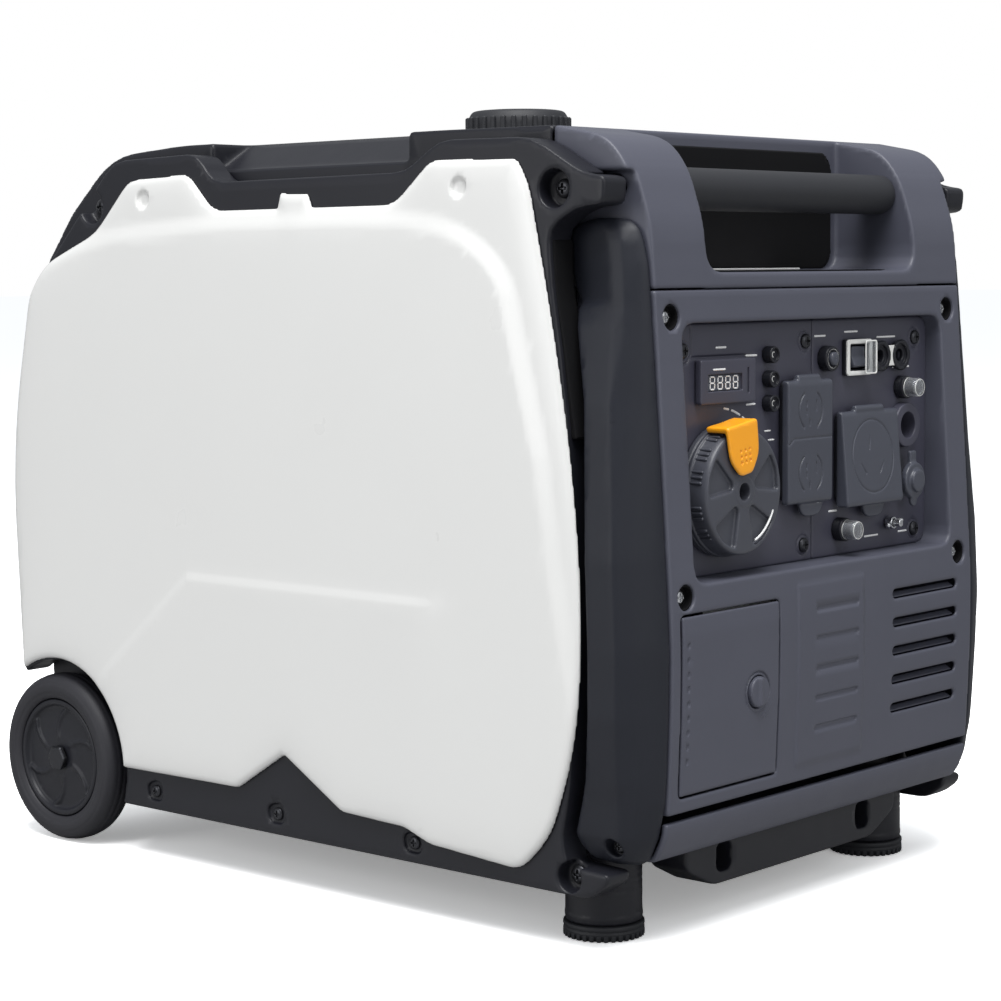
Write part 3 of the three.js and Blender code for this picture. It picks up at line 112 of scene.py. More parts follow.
@dataclass(frozen=True)
class Finish:
    """A surface: its colour, how it shines, and the grain moulded or cast into it."""

    name: str
    slot: Slot
    colour: tuple[float, float, float]
    roughness: float
    metallic: float = 0.0
    coat: float = 0.0
    transmission: float = 0.0
    drift: float = 0.08  # how far the colour wanders over the piece, as a share
    drift_size: float = 60.0
    grain: float = 0.0  # depth of the surface grain, in millimetres
    grain_size: float = 0.9
    polish_drift: float = 0.06  # how far the roughness wanders
    shine: float = 0.5  # level of the plain reflection

    def material(self) -> bpy.types.Material:
        """Build the finish's node material, or return it where it exists.

        Returns:
            The material.
        """
        made = bpy.data.materials.get(self.name)
        if made is not None:
            return made
        made = bpy.data.materials.new(self.name)
        made.use_nodes = True
        made.diffuse_color = (*self.colour, 1.0)
        tree = made.node_tree
        shader = tree.nodes["Principled BSDF"]
        shader.inputs["Metallic"].default_value = self.metallic
        shader.inputs["Specular IOR Level"].default_value = self.shine
        shader.inputs["Coat Weight"].default_value = self.coat
        shader.inputs["Coat Roughness"].default_value = COAT_ROUGHNESS
        shader.inputs["Transmission Weight"].default_value = self.transmission
        place = tree.nodes.new("ShaderNodeTexCoord").outputs["Object"]
        wander = self._noise(tree, place, self.drift_size, 3.0)
        low, high = (tuple(c * (1 + sign * self.drift) for c in self.colour) for sign in (-1, 1))
        mix = tree.nodes.new("ShaderNodeMix")
        mix.data_type = "RGBA"
        mix.inputs["A"].default_value = (*low, 1.0)
        mix.inputs["B"].default_value = (*high, 1.0)
        tree.links.new(wander, mix.inputs["Factor"])
        tree.links.new(mix.outputs["Result"], shader.inputs["Base Color"])
        rub = tree.nodes.new("ShaderNodeMapRange")
        rub.inputs["To Min"].default_value = self.roughness - self.polish_drift
        rub.inputs["To Max"].default_value = self.roughness + self.polish_drift
        tree.links.new(self._noise(tree, place, self.drift_size * POLISH_SIZE, 4.0), rub.inputs["Value"])
        tree.links.new(rub.outputs["Result"], shader.inputs["Roughness"])
        if self.grain > 0:
            bump = tree.nodes.new("ShaderNodeBump")
            bump.inputs["Distance"].default_value = self.grain * MM
            bump.inputs["Strength"].default_value = BUMP_STRENGTH
            tree.links.new(self._noise(tree, place, self.grain_size, 2.0), bump.inputs["Height"])
            tree.links.new(bump.outputs["Normal"], shader.inputs["Normal"])
        return made

    @staticmethod
    def _noise(
        tree: bpy.types.NodeTree, place: bpy.types.NodeSocket, size: float, detail: float
    ) -> bpy.types.NodeSocket:
        """Add a noise whose patches are size millimetres across.

        Args:
            tree: The material's node tree.
            place: The coordinates it reads.
            size: How wide its patches are, in millimetres.
            detail: How many finer layers it has.

        Returns:
            The socket with its value.
        """
        noise = tree.nodes.new("ShaderNodeTexNoise")
        noise.inputs["Scale"].default_value = 1 / (size * MM)
        noise.inputs["Detail"].default_value = detail
        tree.links.new(place, noise.inputs["Vector"])
        return noise.outputs["Fac"]


SHELL = Finish("charcoal_shell", Slot.SHELL, (0.066, 0.069, 0.093), 0.5, grain=0.05, drift=0.05)
FRAME = Finish("black_frame", Slot.FRAME, (0.0105, 0.011, 0.0155), 0.42, grain=0.05, drift=0.08, shine=0.34)
PANEL = Finish("white_panel", Slot.PANEL, (0.72, 0.72, 0.708), 0.3, coat=0.25, drift=0.012, drift_size=180)
RUBBER = Finish("black_rubber", Slot.RUBBER, (0.014, 0.015, 0.019), 0.62, grain=0.08, grain_size=0.6)
TYRE = Finish("ribbed_tyre", Slot.TYRE, (0.013, 0.013, 0.018), 0.6, grain=0.12, grain_size=1.2)
PLATE = Finish("panel_plate", Slot.PLATE, (0.050, 0.050, 0.072), 0.45, grain=0.04, grain_size=0.7)
COVER = Finish("cover_grey", Slot.PLATE, (0.052, 0.056, 0.074), 0.38, grain=0.03, grain_size=0.6)
KNOB = Finish("dial_knob", Slot.KNOB, (0.052, 0.055, 0.070), 0.42, grain=0.03, grain_size=0.6)
ORANGE = Finish("tongue_orange", Slot.ORANGE, (0.95, 0.38, 0.008), 0.36, coat=0.2, drift=0.03, grain=0.02)
CLEAR = Finish(
    "clear_boot", Slot.CLEAR, (0.90, 0.92, 0.94), 0.08, transmission=0.92, drift=0.02, drift_size=8
)
PALE = Finish("pale_switch", Slot.SWITCH, (0.74, 0.74, 0.72), 0.36, coat=0.15, drift=0.02, drift_size=14)
STEEL = Finish("bright_steel", Slot.STEEL, (0.62, 0.63, 0.65), 0.28, metallic=1.0, drift=0.05, drift_size=6)
BLACK_STEEL = Finish("black_screw", Slot.STEEL, (0.045, 0.046, 0.052), 0.34, metallic=0.8, drift_size=4)
CAST = Finish("cast_alloy", Slot.CAST, (0.33, 0.34, 0.35), 0.55, metallic=0.8, grain=0.2, grain_size=1.6)
COPPER = Finish(
    "copper_winding", Slot.COPPER, (0.55, 0.22, 0.10), 0.4, metallic=0.9, grain=0.2, grain_size=1.2
)
TANK = Finish("black_tank", Slot.TANK, (0.022, 0.023, 0.027), 0.45, grain=0.06)
PAINT = Finish("white_print", Slot.SWITCH, (0.80, 0.80, 0.80), 0.5, drift=0.02, drift_size=10)
GUARD = Finish("guard_charcoal", Slot.SHELL, (0.012, 0.0135, 0.020), 0.5, grain=0.05, drift=0.05, shine=0.3)
# Near-black painted shade, set where shadow falls: in the gaps by the bumpers, in the screw wells and in the
# grip's pocket.
PAINTED_SHADE = Finish("painted_shade_black", Slot.FRAME, (0.004, 0.004, 0.005), 0.9, drift=0.1, drift_size=60, shine=0.2)
FLOOR = Finish("pale_floor", Slot.PANEL, (0.34, 0.34, 0.34), 0.8, drift=0.01, drift_size=900)


# ---------------------------------------------------------------- outlines and shapes


def outline(corners: Sequence[Corner], steps: int = 8) -> Array:
    """Round the corners of a closed outline.

    Args:
        corners: [u, v, softness] each; a corner is rounded from that far away on each side.
        steps: Points along each rounded corner.

    Returns:
        The outline's points, one row each.
    """
    points: list[Array] = []
    flat = [np.array(c[:2], float) for c in corners]
    for i, corner in enumerate(flat):
        softness = corners[i][2] if len(corners[i]) > 2 else 0
        if softness <= 0:
            points.append(corner)
            continue
        ends = []
        for other in (flat[i - 1], flat[(i + 1) % len(flat)]):
            edge = other - corner
            reach = min(softness, np.linalg.norm(edge) * 0.49)
            ends.append(corner + edge / np.linalg.norm(edge) * reach)
        for t in np.linspace(0, 1, steps):
            points.append((1 - t) ** 2 * ends[0] + 2 * t * (1 - t) * corner + t * t * ends[1])
    return np.array(points)


def plan_distance(points: Array, u: Array, v: Array) -> Array:
    """Signed distance to a closed outline, negative inside it.

    Args:
        points: The outline's points.
        u: First coordinate of each place asked about.
        v: Second coordinate.

    Returns:
        The distances, in the shape that u and v give together.
    """
    u, v = np.broadcast_arrays(u, v)
    nearest = np.full(u.shape, 1e18)
    inside = np.zeros(u.shape, bool)
    for a, b in zip(points, np.roll(points, -1, axis=0)):
        edge = b - a
        length = float(edge @ edge)
        if length < 1e-12:
            continue
        t = np.clip(((u - a[0]) * edge[0] + (v - a[1]) * edge[1]) / length, 0, 1)
        nearest = np.minimum(nearest, (u - a[0] - t * edge[0]) ** 2 + (v - a[1] - t * edge[1]) ** 2)
        if a[1] != b[1]:
            crosses = (v >= min(a[1], b[1])) & (v < max(a[1], b[1]))
            inside ^= crosses & (u < a[0] + (v - a[1]) * edge[0] / edge[1])
    return np.where(inside, -1, 1) * np.sqrt(nearest)


def drawn_out(plan: Array, along: Array, edge: float) -> Array:
    """Combine a plan's distance with the distance past its two ends, with rounded edges.

    Args:
        plan: Signed distance in the plan.
        along: Signed distance past the nearer end.
        edge: Radius of the edges between them.

    Returns:
        The solid's signed distance.
    """
    plan, along = plan + edge, along + edge
    outside = np.hypot(np.maximum(plan, 0), np.maximum(along, 0))
    return np.minimum(np.maximum(plan, along), 0) + outside - edge


def ease(t: Array) -> Array:
    """A soft step from 0 to 1 as t goes from 0 to 1."""
    t = np.clip(t, 0, 1)
    return t * t * (3 - 2 * t)


@dataclass(frozen=True)
class Shape:
    """A solid given by its box and its signed distance, to join to a piece or carve from it."""

    low: tuple[float, float, float]
    high: tuple[float, float, float]
    distance: Callable[[Array, Array, Array], Array]


# For each axis, the coordinates that an outline's (u, v) stand for, and the axis itself.
AXES = {"x": (1, 2, 0), "y": (0, 2, 1), "z": (0, 1, 2)}


def _drawn(
    axis: str, plan_low: Corner, plan_high: Corner, low: float, high: float, plan: Callable, edge: float
) -> Shape:
    """A shape with one plan all along an axis.

    Args:
        axis: x, y or z.
        plan_low: Lowest (u, v) of the plan.
        plan_high: Highest (u, v).
        low: Where it starts along the axis.
        high: Where it ends.
        plan: Gives the plan's signed distance from u and v.
        edge: Radius of its edges.

    Returns:
        The shape.
    """
    u, v, w = AXES[axis]
    corners = np.zeros((2, 3))
    corners[0, [u, v, w]] = [plan_low[0], plan_low[1], low]
    corners[1, [u, v, w]] = [plan_high[0], plan_high[1], high]

    def distance(*at: Array) -> Array:
        """The shape's own signed distance."""
        along = np.abs(at[w] - (low + high) / 2) - (high - low) / 2
        return drawn_out(plan(at[u], at[v]), along, edge)

    return Shape(tuple(corners[0]), tuple(corners[1]), distance)


def prism(axis: str, corners: Sequence[Corner], low: float, high: float, edge: float = 0.0) -> Shape:
    """An outline drawn out along an axis.

    Args:
        axis: x, y or z.
        corners: The outline's corners, in (y, z), (x, z) or (x, y), as outline() takes them.
        low: Where it starts along the axis.
        high: Where it ends.
        edge: Radius of its edges.

    Returns:
        The shape.
    """
    points = outline(corners)
    return _drawn(
        axis, points.min(0), points.max(0), low, high, lambda u, v: plan_distance(points, u, v), edge
    )


def slab(
    axis: str, u: Corner, v: Corner, low: float, high: float, corner: float = 0.0, edge: float = 0.0
) -> Shape:
    """A rectangle with rounded corners drawn out along an axis.

    Args:
        axis: x, y or z.
        u: The two ends of its first coordinate.
        v: The two ends of its second coordinate.
        low: Where it starts along the axis.
        high: Where it ends.
        corner: Radius of the rectangle's corners.
        edge: Radius of the edges round its two ends.

    Returns:
        The shape.
    """
    middle = ((u[0] + u[1]) / 2, (v[0] + v[1]) / 2)
    half = ((u[1] - u[0]) / 2 - corner, (v[1] - v[0]) / 2 - corner)

    def plan(a: Array, b: Array) -> Array:
        """Signed distance to the rounded rectangle."""
        du, dv = np.abs(a - middle[0]) - half[0], np.abs(b - middle[1]) - half[1]
        return np.minimum(np.maximum(du, dv), 0) + np.hypot(np.maximum(du, 0), np.maximum(dv, 0)) - corner

    return _drawn(axis, (u[0], v[0]), (u[1], v[1]), low, high, plan, edge)


def rod(axis: str, u: float, v: float, radius: float, low: float, high: float, edge: float = 0.0) -> Shape:
    """A round rod along an axis.

    Args:
        axis: x, y or z.
        u: First coordinate of its middle line.
        v: Second coordinate.
        radius: Its radius.
        low: Where it starts along the axis.
        high: Where it ends.
        edge: Radius of its edges.

    Returns:
        The shape.
    """
    low_corner, high_corner = (u - radius, v - radius), (u + radius, v + radius)
    return _drawn(
        axis, low_corner, high_corner, low, high, lambda a, b: np.hypot(a - u, b - v) - radius, edge
    )


def ring(
    axis: str, u: float, v: float, radius: float, width: float, low: float, high: float, edge: float = 0.0
) -> Shape:
    """A ring drawn out along an axis.

    Args:
        axis: x, y or z.
        u: First coordinate of its middle line.
        v: Second coordinate.
        radius: Its mean radius.
        width: How wide the band is.
        low: Where it starts along the axis.
        high: Where it ends.
        edge: Radius of its edges.

    Returns:
        The shape.
    """
    reach = radius + width / 2

    def plan(a: Array, b: Array) -> Array:
        """Signed distance to the band."""
        return np.abs(np.hypot(a - u, b - v) - radius) - width / 2

    return _drawn(axis, (u - reach, v - reach), (u + reach, v + reach), low, high, plan, edge)


def turned(axis: str, u: float, v: float, profile: Sequence[Corner]) -> Shape:
    """A profile turned round an axis.

    Args:
        axis: x, y or z.
        u: First coordinate of the axis.
        v: Second coordinate.
        profile: [radius, distance along the axis, softness] each, as outline() takes them.

    Returns:
        The shape.
    """
    points = outline([*profile])
    mirrored = np.vstack([points, points[::-1] * (-1, 1)]) if points[:, 0].min() <= 0 else points
    reach = points[:, 0].max()
    first, second, along = AXES[axis]
    corners = np.zeros((2, 3))
    corners[0, [first, second, along]] = [u - reach, v - reach, points[:, 1].min()]
    corners[1, [first, second, along]] = [u + reach, v + reach, points[:, 1].max()]
    return Shape(
        tuple(corners[0]),
        tuple(corners[1]),
        lambda *at: plan_distance(mirrored, np.hypot(at[first] - u, at[second] - v), at[along]),
    )


def strand(points: Sequence[Corner], radius: float) -> Shape:
    """A round strand along a path.

    Args:
        points: The [x, y, z] points that it runs through.
        radius: Its radius.

    Returns:
        The shape.
    """
    path = np.array(points, float)

    def distance(x: Array, y: Array, z: Array) -> Array:
        """Distance to the nearest stretch of the path, less the radius."""
        nearest = None
        for a, b in zip(path, path[1:]):
            edge = b - a
            t = ((x - a[0]) * edge[0] + (y - a[1]) * edge[1] + (z - a[2]) * edge[2]) / max(edge @ edge, 1e-9)
            t = np.clip(t, 0, 1)
            d = (x - a[0] - t * edge[0]) ** 2 + (y - a[1] - t * edge[1]) ** 2 + (z - a[2] - t * edge[2]) ** 2
            nearest = d if nearest is None else np.minimum(nearest, d)
        return np.sqrt(nearest) - radius

    return Shape(tuple(path.min(0) - radius), tuple(path.max(0) + radius), distance)


def arc(
    u: float, v: float, radius: float, start: float, end: float, along: float, steps: int = 14
) -> list[Corner]:
    """Points on an arc that faces the user.

    Args:
        u: The centre's x.
        v: The centre's z.
        radius: The arc's radius.
        start: The angle where it starts, in degrees.
        end: The angle where it ends.
        along: The depth, y, of every point.
        steps: How many points.

    Returns:
        The [x, y, z] points.
    """
    angles = np.radians(np.linspace(start, end, steps))
    return [(u + radius * math.cos(a), along, v + radius * math.sin(a)) for a in angles]


def hexagon(u: float, v: float, radius: float, softness: float = 0.0) -> list[Corner]:
    """The corners of a nut's outline, at that radius from (u, v)."""
    angles = np.radians(range(0, 360, 60))
    return [(u + radius * math.cos(a), v + radius * math.sin(a), softness) for a in angles]


def moved(shape: Shape, turn: float, u: float, v: float) -> Shape:
    """A shape turned about an axis that runs along y.

    Args:
        shape: The shape.
        turn: How far it turns, in degrees.
        u: The axis's x.
        v: The axis's z.

    Returns:
        The turned shape.
    """
    c, s = math.cos(math.radians(turn)), math.sin(math.radians(turn))
    reach = max(abs(a - b) for a, b in zip(shape.low, (u, 0, v))) + max(
        abs(a - b) for a, b in zip(shape.high, (u, 0, v))
    )

    def distance(x: Array, y: Array, z: Array) -> Array:
        """The shape's distance with the place turned back."""
        return shape.distance(u + (x - u) * c + (z - v) * s, y, v - (x - u) * s + (z - v) * c)

    return Shape((u - reach, shape.low[1], v - reach), (u + reach, shape.high[1], v + reach), distance)


# ---------------------------------------------------------------- modelling in distances


def blended(a: Array, b: Array, radius: float) -> Array:
    """The lesser of two distances, with a fillet where they meet.

    Args:
        a: One distance.
        b: The other.
        radius: About how large the fillet is.

    Returns:
        The joined solid's signed distance.
    """
    if radius <= 0:
        return np.minimum(a, b)
    share = np.maximum(radius - np.abs(a - b), 0) / radius
    return np.minimum(a, b) - share * share * radius / 4


def node_surface(name: str) -> tuple[Array, Array]:
    """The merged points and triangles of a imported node, in this file's millimetres.

    Args:
        name: The node's name.

    Returns:
        Its points and its triangles.
    """
    mesh = frame["nodes"][name].data
    points = np.empty(len(mesh.vertices) * 3, np.float32)
    mesh.vertices.foreach_get("co", points)
    mesh.calc_loop_triangles()
    triangles = np.empty(len(mesh.loop_triangles) * 3, np.int32)
    mesh.loop_triangles.foreach_get("vertices", triangles)
    kept, index = np.unique(np.round(points.reshape(-1, 3) / MM, 3), axis=0, return_inverse=True)
    merged = index.reshape(-1)[triangles].reshape(-1, 3).astype(np.uint32)
    return np.ascontiguousarray(kept - (0, FRONT, 0), np.float32), np.ascontiguousarray(merged)


class Clay:
    """A solid held as signed distances on a regular lattice, which shapes are joined to and carved from."""

    def __init__(self, low: Corner, high: Corner, pitch: float) -> None:
        """Make an empty block.

        Args:
            low: Its lowest corner.
            high: Its highest corner.
            pitch: The lattice's spacing.
        """
        self.pitch = pitch
        self.first = np.floor((np.array(low) - 3 * pitch) / pitch).astype(int)
        count = np.ceil((np.array(high) + 3 * pitch) / pitch).astype(int) - self.first + 1
        self.values = np.full(count, BAND * pitch, np.float32)
        self.axes = [((np.arange(n) + f) * pitch) for n, f in zip(count, self.first)]

    @classmethod
    def of_node(cls, name: str, pitch: float, room: float = 0.0) -> "Clay":
        """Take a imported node's own solid.

        Args:
            name: The node.
            pitch: The lattice's spacing.
            room: How much further than the node the lattice reaches.

        Returns:
            The clay.
        """
        points, triangles = node_surface(name)
        clay = cls(points.min(0) - room, points.max(0) + room, pitch)
        level = openvdb.FloatGrid.createLevelSetFromPolygons(
            points, triangles=triangles, transform=openvdb.createLinearTransform(pitch), halfWidth=BAND
        )
        level.copyToArray(clay.values, ijk=tuple(int(i) for i in clay.first))
        return clay

    @classmethod
    def of_shapes(cls, pitch: float, *shapes: Shape, blend: float = 0.0) -> "Clay":
        """Join shapes into a new piece.

        Args:
            pitch: The lattice's spacing.
            shapes: What it is made of.
            blend: The fillet where they meet.

        Returns:
            The clay.
        """
        low = np.min([s.low for s in shapes], axis=0)
        high = np.max([s.high for s in shapes], axis=0)
        return cls(low, high, pitch).join(*shapes, blend=blend)

    def _window(self, shape: Shape, reach: float) -> tuple[tuple[slice, ...], list[Array]]:
        """The part of the lattice near a shape, and its coordinates.

        Args:
            shape: The shape.
            reach: How far round it.

        Returns:
            The slices, and x, y and z ready to combine.
        """
        slices, places = [], []
        for k in range(3):
            a, b = np.searchsorted(self.axes[k], (shape.low[k] - reach, shape.high[k] + reach))
            slices.append(slice(int(a), int(b)))
            places.append(self.axes[k][a:b].reshape([-1 if i == k else 1 for i in range(3)]))
        return tuple(slices), places

    def join(self, *shapes: Shape, blend: float = 0.0) -> "Clay":
        """Add shapes.

        Args:
            shapes: What is added.
            blend: The fillet where they meet what is there.

        Returns:
            The clay itself.
        """
        for shape in shapes:
            where, at = self._window(shape, blend + BAND * self.pitch)
            self.values[where] = blended(self.values[where], shape.distance(*at), blend)
        return self

    def carve(self, *shapes: Shape, blend: float = 0.0) -> "Clay":
        """Cut shapes away.

        Args:
            shapes: What is cut away.
            blend: The radius of the new edges.

        Returns:
            The clay itself.
        """
        for shape in shapes:
            where, at = self._window(shape, blend + BAND * self.pitch)
            self.values[where] = -blended(-self.values[where], shape.distance(*at), blend)
        return self

    def soften(self, radius: float) -> "Clay":
        """Round every edge. A wall about as thin as the lattice's spacing is lost.

        Args:
            radius: About how far.

        Returns:
            The clay itself.
        """
        spread = radius / self.pitch
        reach = max(1, math.ceil(ROUNDING_TAIL * spread))
        weights = np.exp(-0.5 * (np.arange(-reach, reach + 1) / spread) ** 2)
        weights = (weights / weights.sum()).astype(np.float32)
        for axis in range(3):
            margins = [(reach, reach) if k == axis else (0, 0) for k in range(3)]
            padded = np.pad(self.values, margins, "edge")
            total = np.zeros_like(self.values)
            for i, weight in enumerate(weights):
                part = [slice(None)] * 3
                part[axis] = slice(i, i + self.values.shape[axis])
                total += weight * padded[tuple(part)]
            self.values = total
        return self

    def _sample(self, points: Array) -> Array:
        """The distances at some points.

        Args:
            points: The points, in lattice steps from the first corner.

        Returns:
            The distance at each.
        """
        base = np.clip(np.floor(points).astype(int), 0, np.array(self.values.shape) - 2)
        share = points - base
        total = np.zeros(len(points))
        for corner in np.ndindex(2, 2, 2):
            at = base + corner
            weight = np.prod(np.where(corner, share, 1 - share), axis=1)
            total += weight * self.values[at[:, 0], at[:, 1], at[:, 2]]
        return total

    def cast(self, name: str, adaptivity: float = 0.02) -> bpy.types.Object:
        """Turn the clay into a mesh object with smooth normals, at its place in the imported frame.

        Args:
            name: The object's name.
            adaptivity: How readily flat stretches share larger faces.

        Returns:
            The object.
        """
        limit = BAND * self.pitch
        self.values = np.ascontiguousarray(np.clip(self.values, -limit, limit), np.float32)
        grid = openvdb.FloatGrid(background=limit)
        grid.copyFromArray(self.values, ijk=tuple(int(i) for i in self.first), tolerance=0.0)
        points, triangles, quads = grid.convertToPolygons(isovalue=0.0, adaptivity=adaptivity)
        normals = np.zeros((len(points), 3))
        steps = points.astype(float) - self.first
        for axis in range(3):
            offset = np.zeros(3)
            offset[axis] = SAMPLE_STEP
            normals[:, axis] = self._sample(steps + offset) - self._sample(steps - offset)
        normals /= np.maximum(np.linalg.norm(normals, axis=1, keepdims=True), 1e-9)
        places = (points * self.pitch + (0, FRONT, 0)) * MM
        faces = [tuple(f) for f in triangles.tolist()] + [tuple(f) for f in quads.tolist()]
        mesh = bpy.data.meshes.new(name)
        mesh.from_pydata(places.tolist(), [], outward(faces, points, normals))
        mesh.validate()
        mesh.shade_smooth()
        mesh.normals_split_custom_set_from_vertices(normals.tolist())
        return linked(name, mesh)


def outward(faces: list[tuple[int, ...]], points: Array, normals: Array) -> list[tuple[int, ...]]:
    """Turn all faces round if they point inwards.

    Args:
        faces: The faces.
        points: The points they join.
        normals: The outward direction at each point.

    Returns:
        The faces, pointing outwards.
    """
    probe = faces[:: max(1, len(faces) // 200)]
    score = 0.0
    for face in probe:
        a, b, c = (points[i] for i in face[:3])
        score += float(np.sign(np.cross(b - a, c - a) @ normals[face[0]]))
    return faces if score > 0 else [tuple(reversed(face)) for face in faces]


# ---------------------------------------------------------------- setting pieces down


def linked(name: str, data: bpy.types.ID) -> bpy.types.Object:
    """Make an object of some data and put it in the scene.

    Args:
        name: The object's name.
        data: Its mesh, light or camera.

    Returns:
        The object.
    """
    made = bpy.data.objects.new(name, data)
    bpy.context.scene.collection.objects.link(made)
    return made


def triangle_count(piece: bpy.types.Object) -> int:
    """How many triangles a mesh object has."""
    return sum(len(polygon.vertices) - 2 for polygon in piece.data.polygons)


def settle(
    piece: bpy.types.Object, finish: Finish, nodes: Sequence[str] = (), body: str | None = None
) -> bpy.types.Object:
    """Give a finished piece its finish, the body it rides on and the nodes it stands for.

    Args:
        piece: The mesh object.
        finish: Its finish.
        nodes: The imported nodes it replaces.
        body: The body, where it replaces no node.

    Returns:
        The same object.
    """
    if not piece.data.materials:
        piece.data.materials.append(finish.material())
    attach(piece, body or frame["nodes"][nodes[0]]["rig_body"])
    if nodes:
        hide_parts(*nodes)
    log.info("%s: %d triangles, %s", piece.name, triangle_count(piece), finish.name)
    return piece


def dress_node(name: str, suffix: str, finish: Finish, pitch: float, radius: float) -> None:
    """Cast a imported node's own shape with its edges rounded, and settle it in its place.

    Args:
        name: The node.
        suffix: What the piece's name adds to the node's.
        finish: Its finish.
        pitch: The lattice's spacing.
        radius: Radius of the rounded edges.
    """
    settle(Clay.of_node(name, pitch).soften(radius).cast(f"{name}_{suffix}"), finish, [name])


def side_name(side: int) -> str:
    """left for -1, right for +1."""
    return "left" if side < 0 else "right"


def span(side: int, inner: float, outer: float) -> tuple[float, float]:
    """The stretch of x between two distances from the middle, on one side."""
    return (-outer, -inner) if side < 0 else (inner, outer)


def world(x: float, y: float, z: float) -> Vector:
    """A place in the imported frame, in metres."""
    return Vector((x, y + FRONT, z)) * MM


def local_part(name: str, clay: Clay) -> bpy.types.Object:
    """Cast a part round the world's origin, to be copied by a pattern and then removed.

    Args:
        name: The part's name.
        clay: Its solid.

    Returns:
        The part.
    """
    part = clay.cast(name)
    part.data.transform(Matrix.Translation((0, -FRONT * MM, 0)))
    return part


# ---------------------------------------------------------------- patterns in Geometry Nodes


class Pattern:
    """A Geometry Nodes tree that sets copies of one part along a rule, as one plain mesh."""

    def __init__(self, name: str, inputs: dict[str, str]) -> None:
        """Start the tree.

        Args:
            name: The tree's name.
            inputs: The socket type of each named input.
        """
        self.tree = bpy.data.node_groups.new(name, "GeometryNodeTree")
        face = self.tree.interface
        face.new_socket("Geometry", in_out="INPUT", socket_type="NodeSocketGeometry")
        common = {"Part": "NodeSocketObject", "Finish": "NodeSocketMaterial"}
        for label, kind in {**common, **inputs}.items():
            face.new_socket(label, in_out="INPUT", socket_type=kind)
        face.new_socket("Geometry", in_out="OUTPUT", socket_type="NodeSocketGeometry")
        self.given = self.add("NodeGroupInput").outputs

    def add(
        self, kind: str, links: dict[str, bpy.types.NodeSocket] | None = None, **settings: object
    ) -> bpy.types.Node:
        """Add a node.

        Args:
            kind: The node's type.
            links: What feeds each of its inputs, by name.
            settings: Its properties.

        Returns:
            The node.
        """
        node = self.tree.nodes.new(kind)
        for key, value in settings.items():
            setattr(node, key, value)
        for label, source in (links or {}).items():
            self.tree.links.new(source, node.inputs[label])
        return node

    def copies(
        self, points: bpy.types.NodeSocket, **links: bpy.types.NodeSocket
    ) -> bpy.types.NodeSocket:
        """Set the part on each point.

        Args:
            points: Where the copies go.
            links: What feeds each copy's Rotation and Scale, where they are not plain.

        Returns:
            The socket with the copies.
        """
        part = self.add("GeometryNodeObjectInfo", {"Object": self.given["Part"]})
        links = {"Points": points, "Instance": part.outputs["Geometry"], **links}
        return self.add("GeometryNodeInstanceOnPoints", links).outputs["Instances"]

    def end(self, copies: bpy.types.NodeSocket) -> "Pattern":
        """Make the copies real, give them their finish and end the tree.

        Args:
            copies: The socket with the copies.

        Returns:
            The pattern itself.
        """
        real = self.add("GeometryNodeRealizeInstances", {"Geometry": copies})
        dressed = self.add(
            "GeometryNodeSetMaterial",
            {"Geometry": real.outputs["Geometry"], "Material": self.given["Finish"]},
        )
        self.add("NodeGroupOutput", {"Geometry": dressed.outputs["Geometry"]})
        return self

    def make(
        self,
        name: str,
        part: bpy.types.Object,
        finish: Finish,
        points: bpy.types.Mesh | None = None,
        **values: object,
    ) -> bpy.types.Object:
        """Run the tree and keep its result.

        Args:
            name: The new object's name.
            part: The solid that is copied; it is left in the scene.
            finish: The copies' finish.
            points: The mesh whose points the tree reads, where it reads one.
            values: The other inputs, by name.

        Returns:
            An object with one plain mesh.
        """
        base = linked(name + "_base", points or bpy.data.meshes.new(name + "_base"))
        modifier = base.modifiers.new("pattern", "NODES")
        modifier.node_group = self.tree
        given = {"Part": part, "Finish": finish.material(), **values}
        for socket in self.tree.interface.items_tree:
            if socket.in_out == "INPUT" and socket.name in given:
                modifier[socket.identifier] = given[socket.name]
        graph = bpy.context.evaluated_depsgraph_get()
        mesh = bpy.data.meshes.new_from_object(base.evaluated_get(graph), depsgraph=graph)
        mesh.name = name
        bpy.data.objects.remove(base)
        return linked(name, mesh)


class Facing(Enum):
    """Which way a fastener's head looks, as a turn from +Z."""

    FRONT = (math.pi / 2, 0.0, 0.0)
    BACK = (-math.pi / 2, 0.0, 0.0)
    LEFT = (0.0, -math.pi / 2, 0.0)
    RIGHT = (0.0, math.pi / 2, 0.0)


def scatter_pattern() -> Pattern:
    """Copies on a mesh's points, turned and sized by the points' own attributes.

    Returns:
        The pattern.
    """
    pattern = Pattern("set_on_points", {})
    turn = pattern.add("GeometryNodeInputNamedAttribute", data_type="FLOAT_VECTOR")
    turn.inputs["Name"].default_value = "turn"
    size = pattern.add("GeometryNodeInputNamedAttribute", data_type="FLOAT")
    size.inputs["Name"].default_value = "size"
    euler = pattern.add("FunctionNodeEulerToRotation", {"Euler": turn.outputs["Attribute"]})
    copies = pattern.copies(
        pattern.given["Geometry"], Rotation=euler.outputs["Rotation"], Scale=size.outputs["Attribute"]
    )
    return pattern.end(copies)


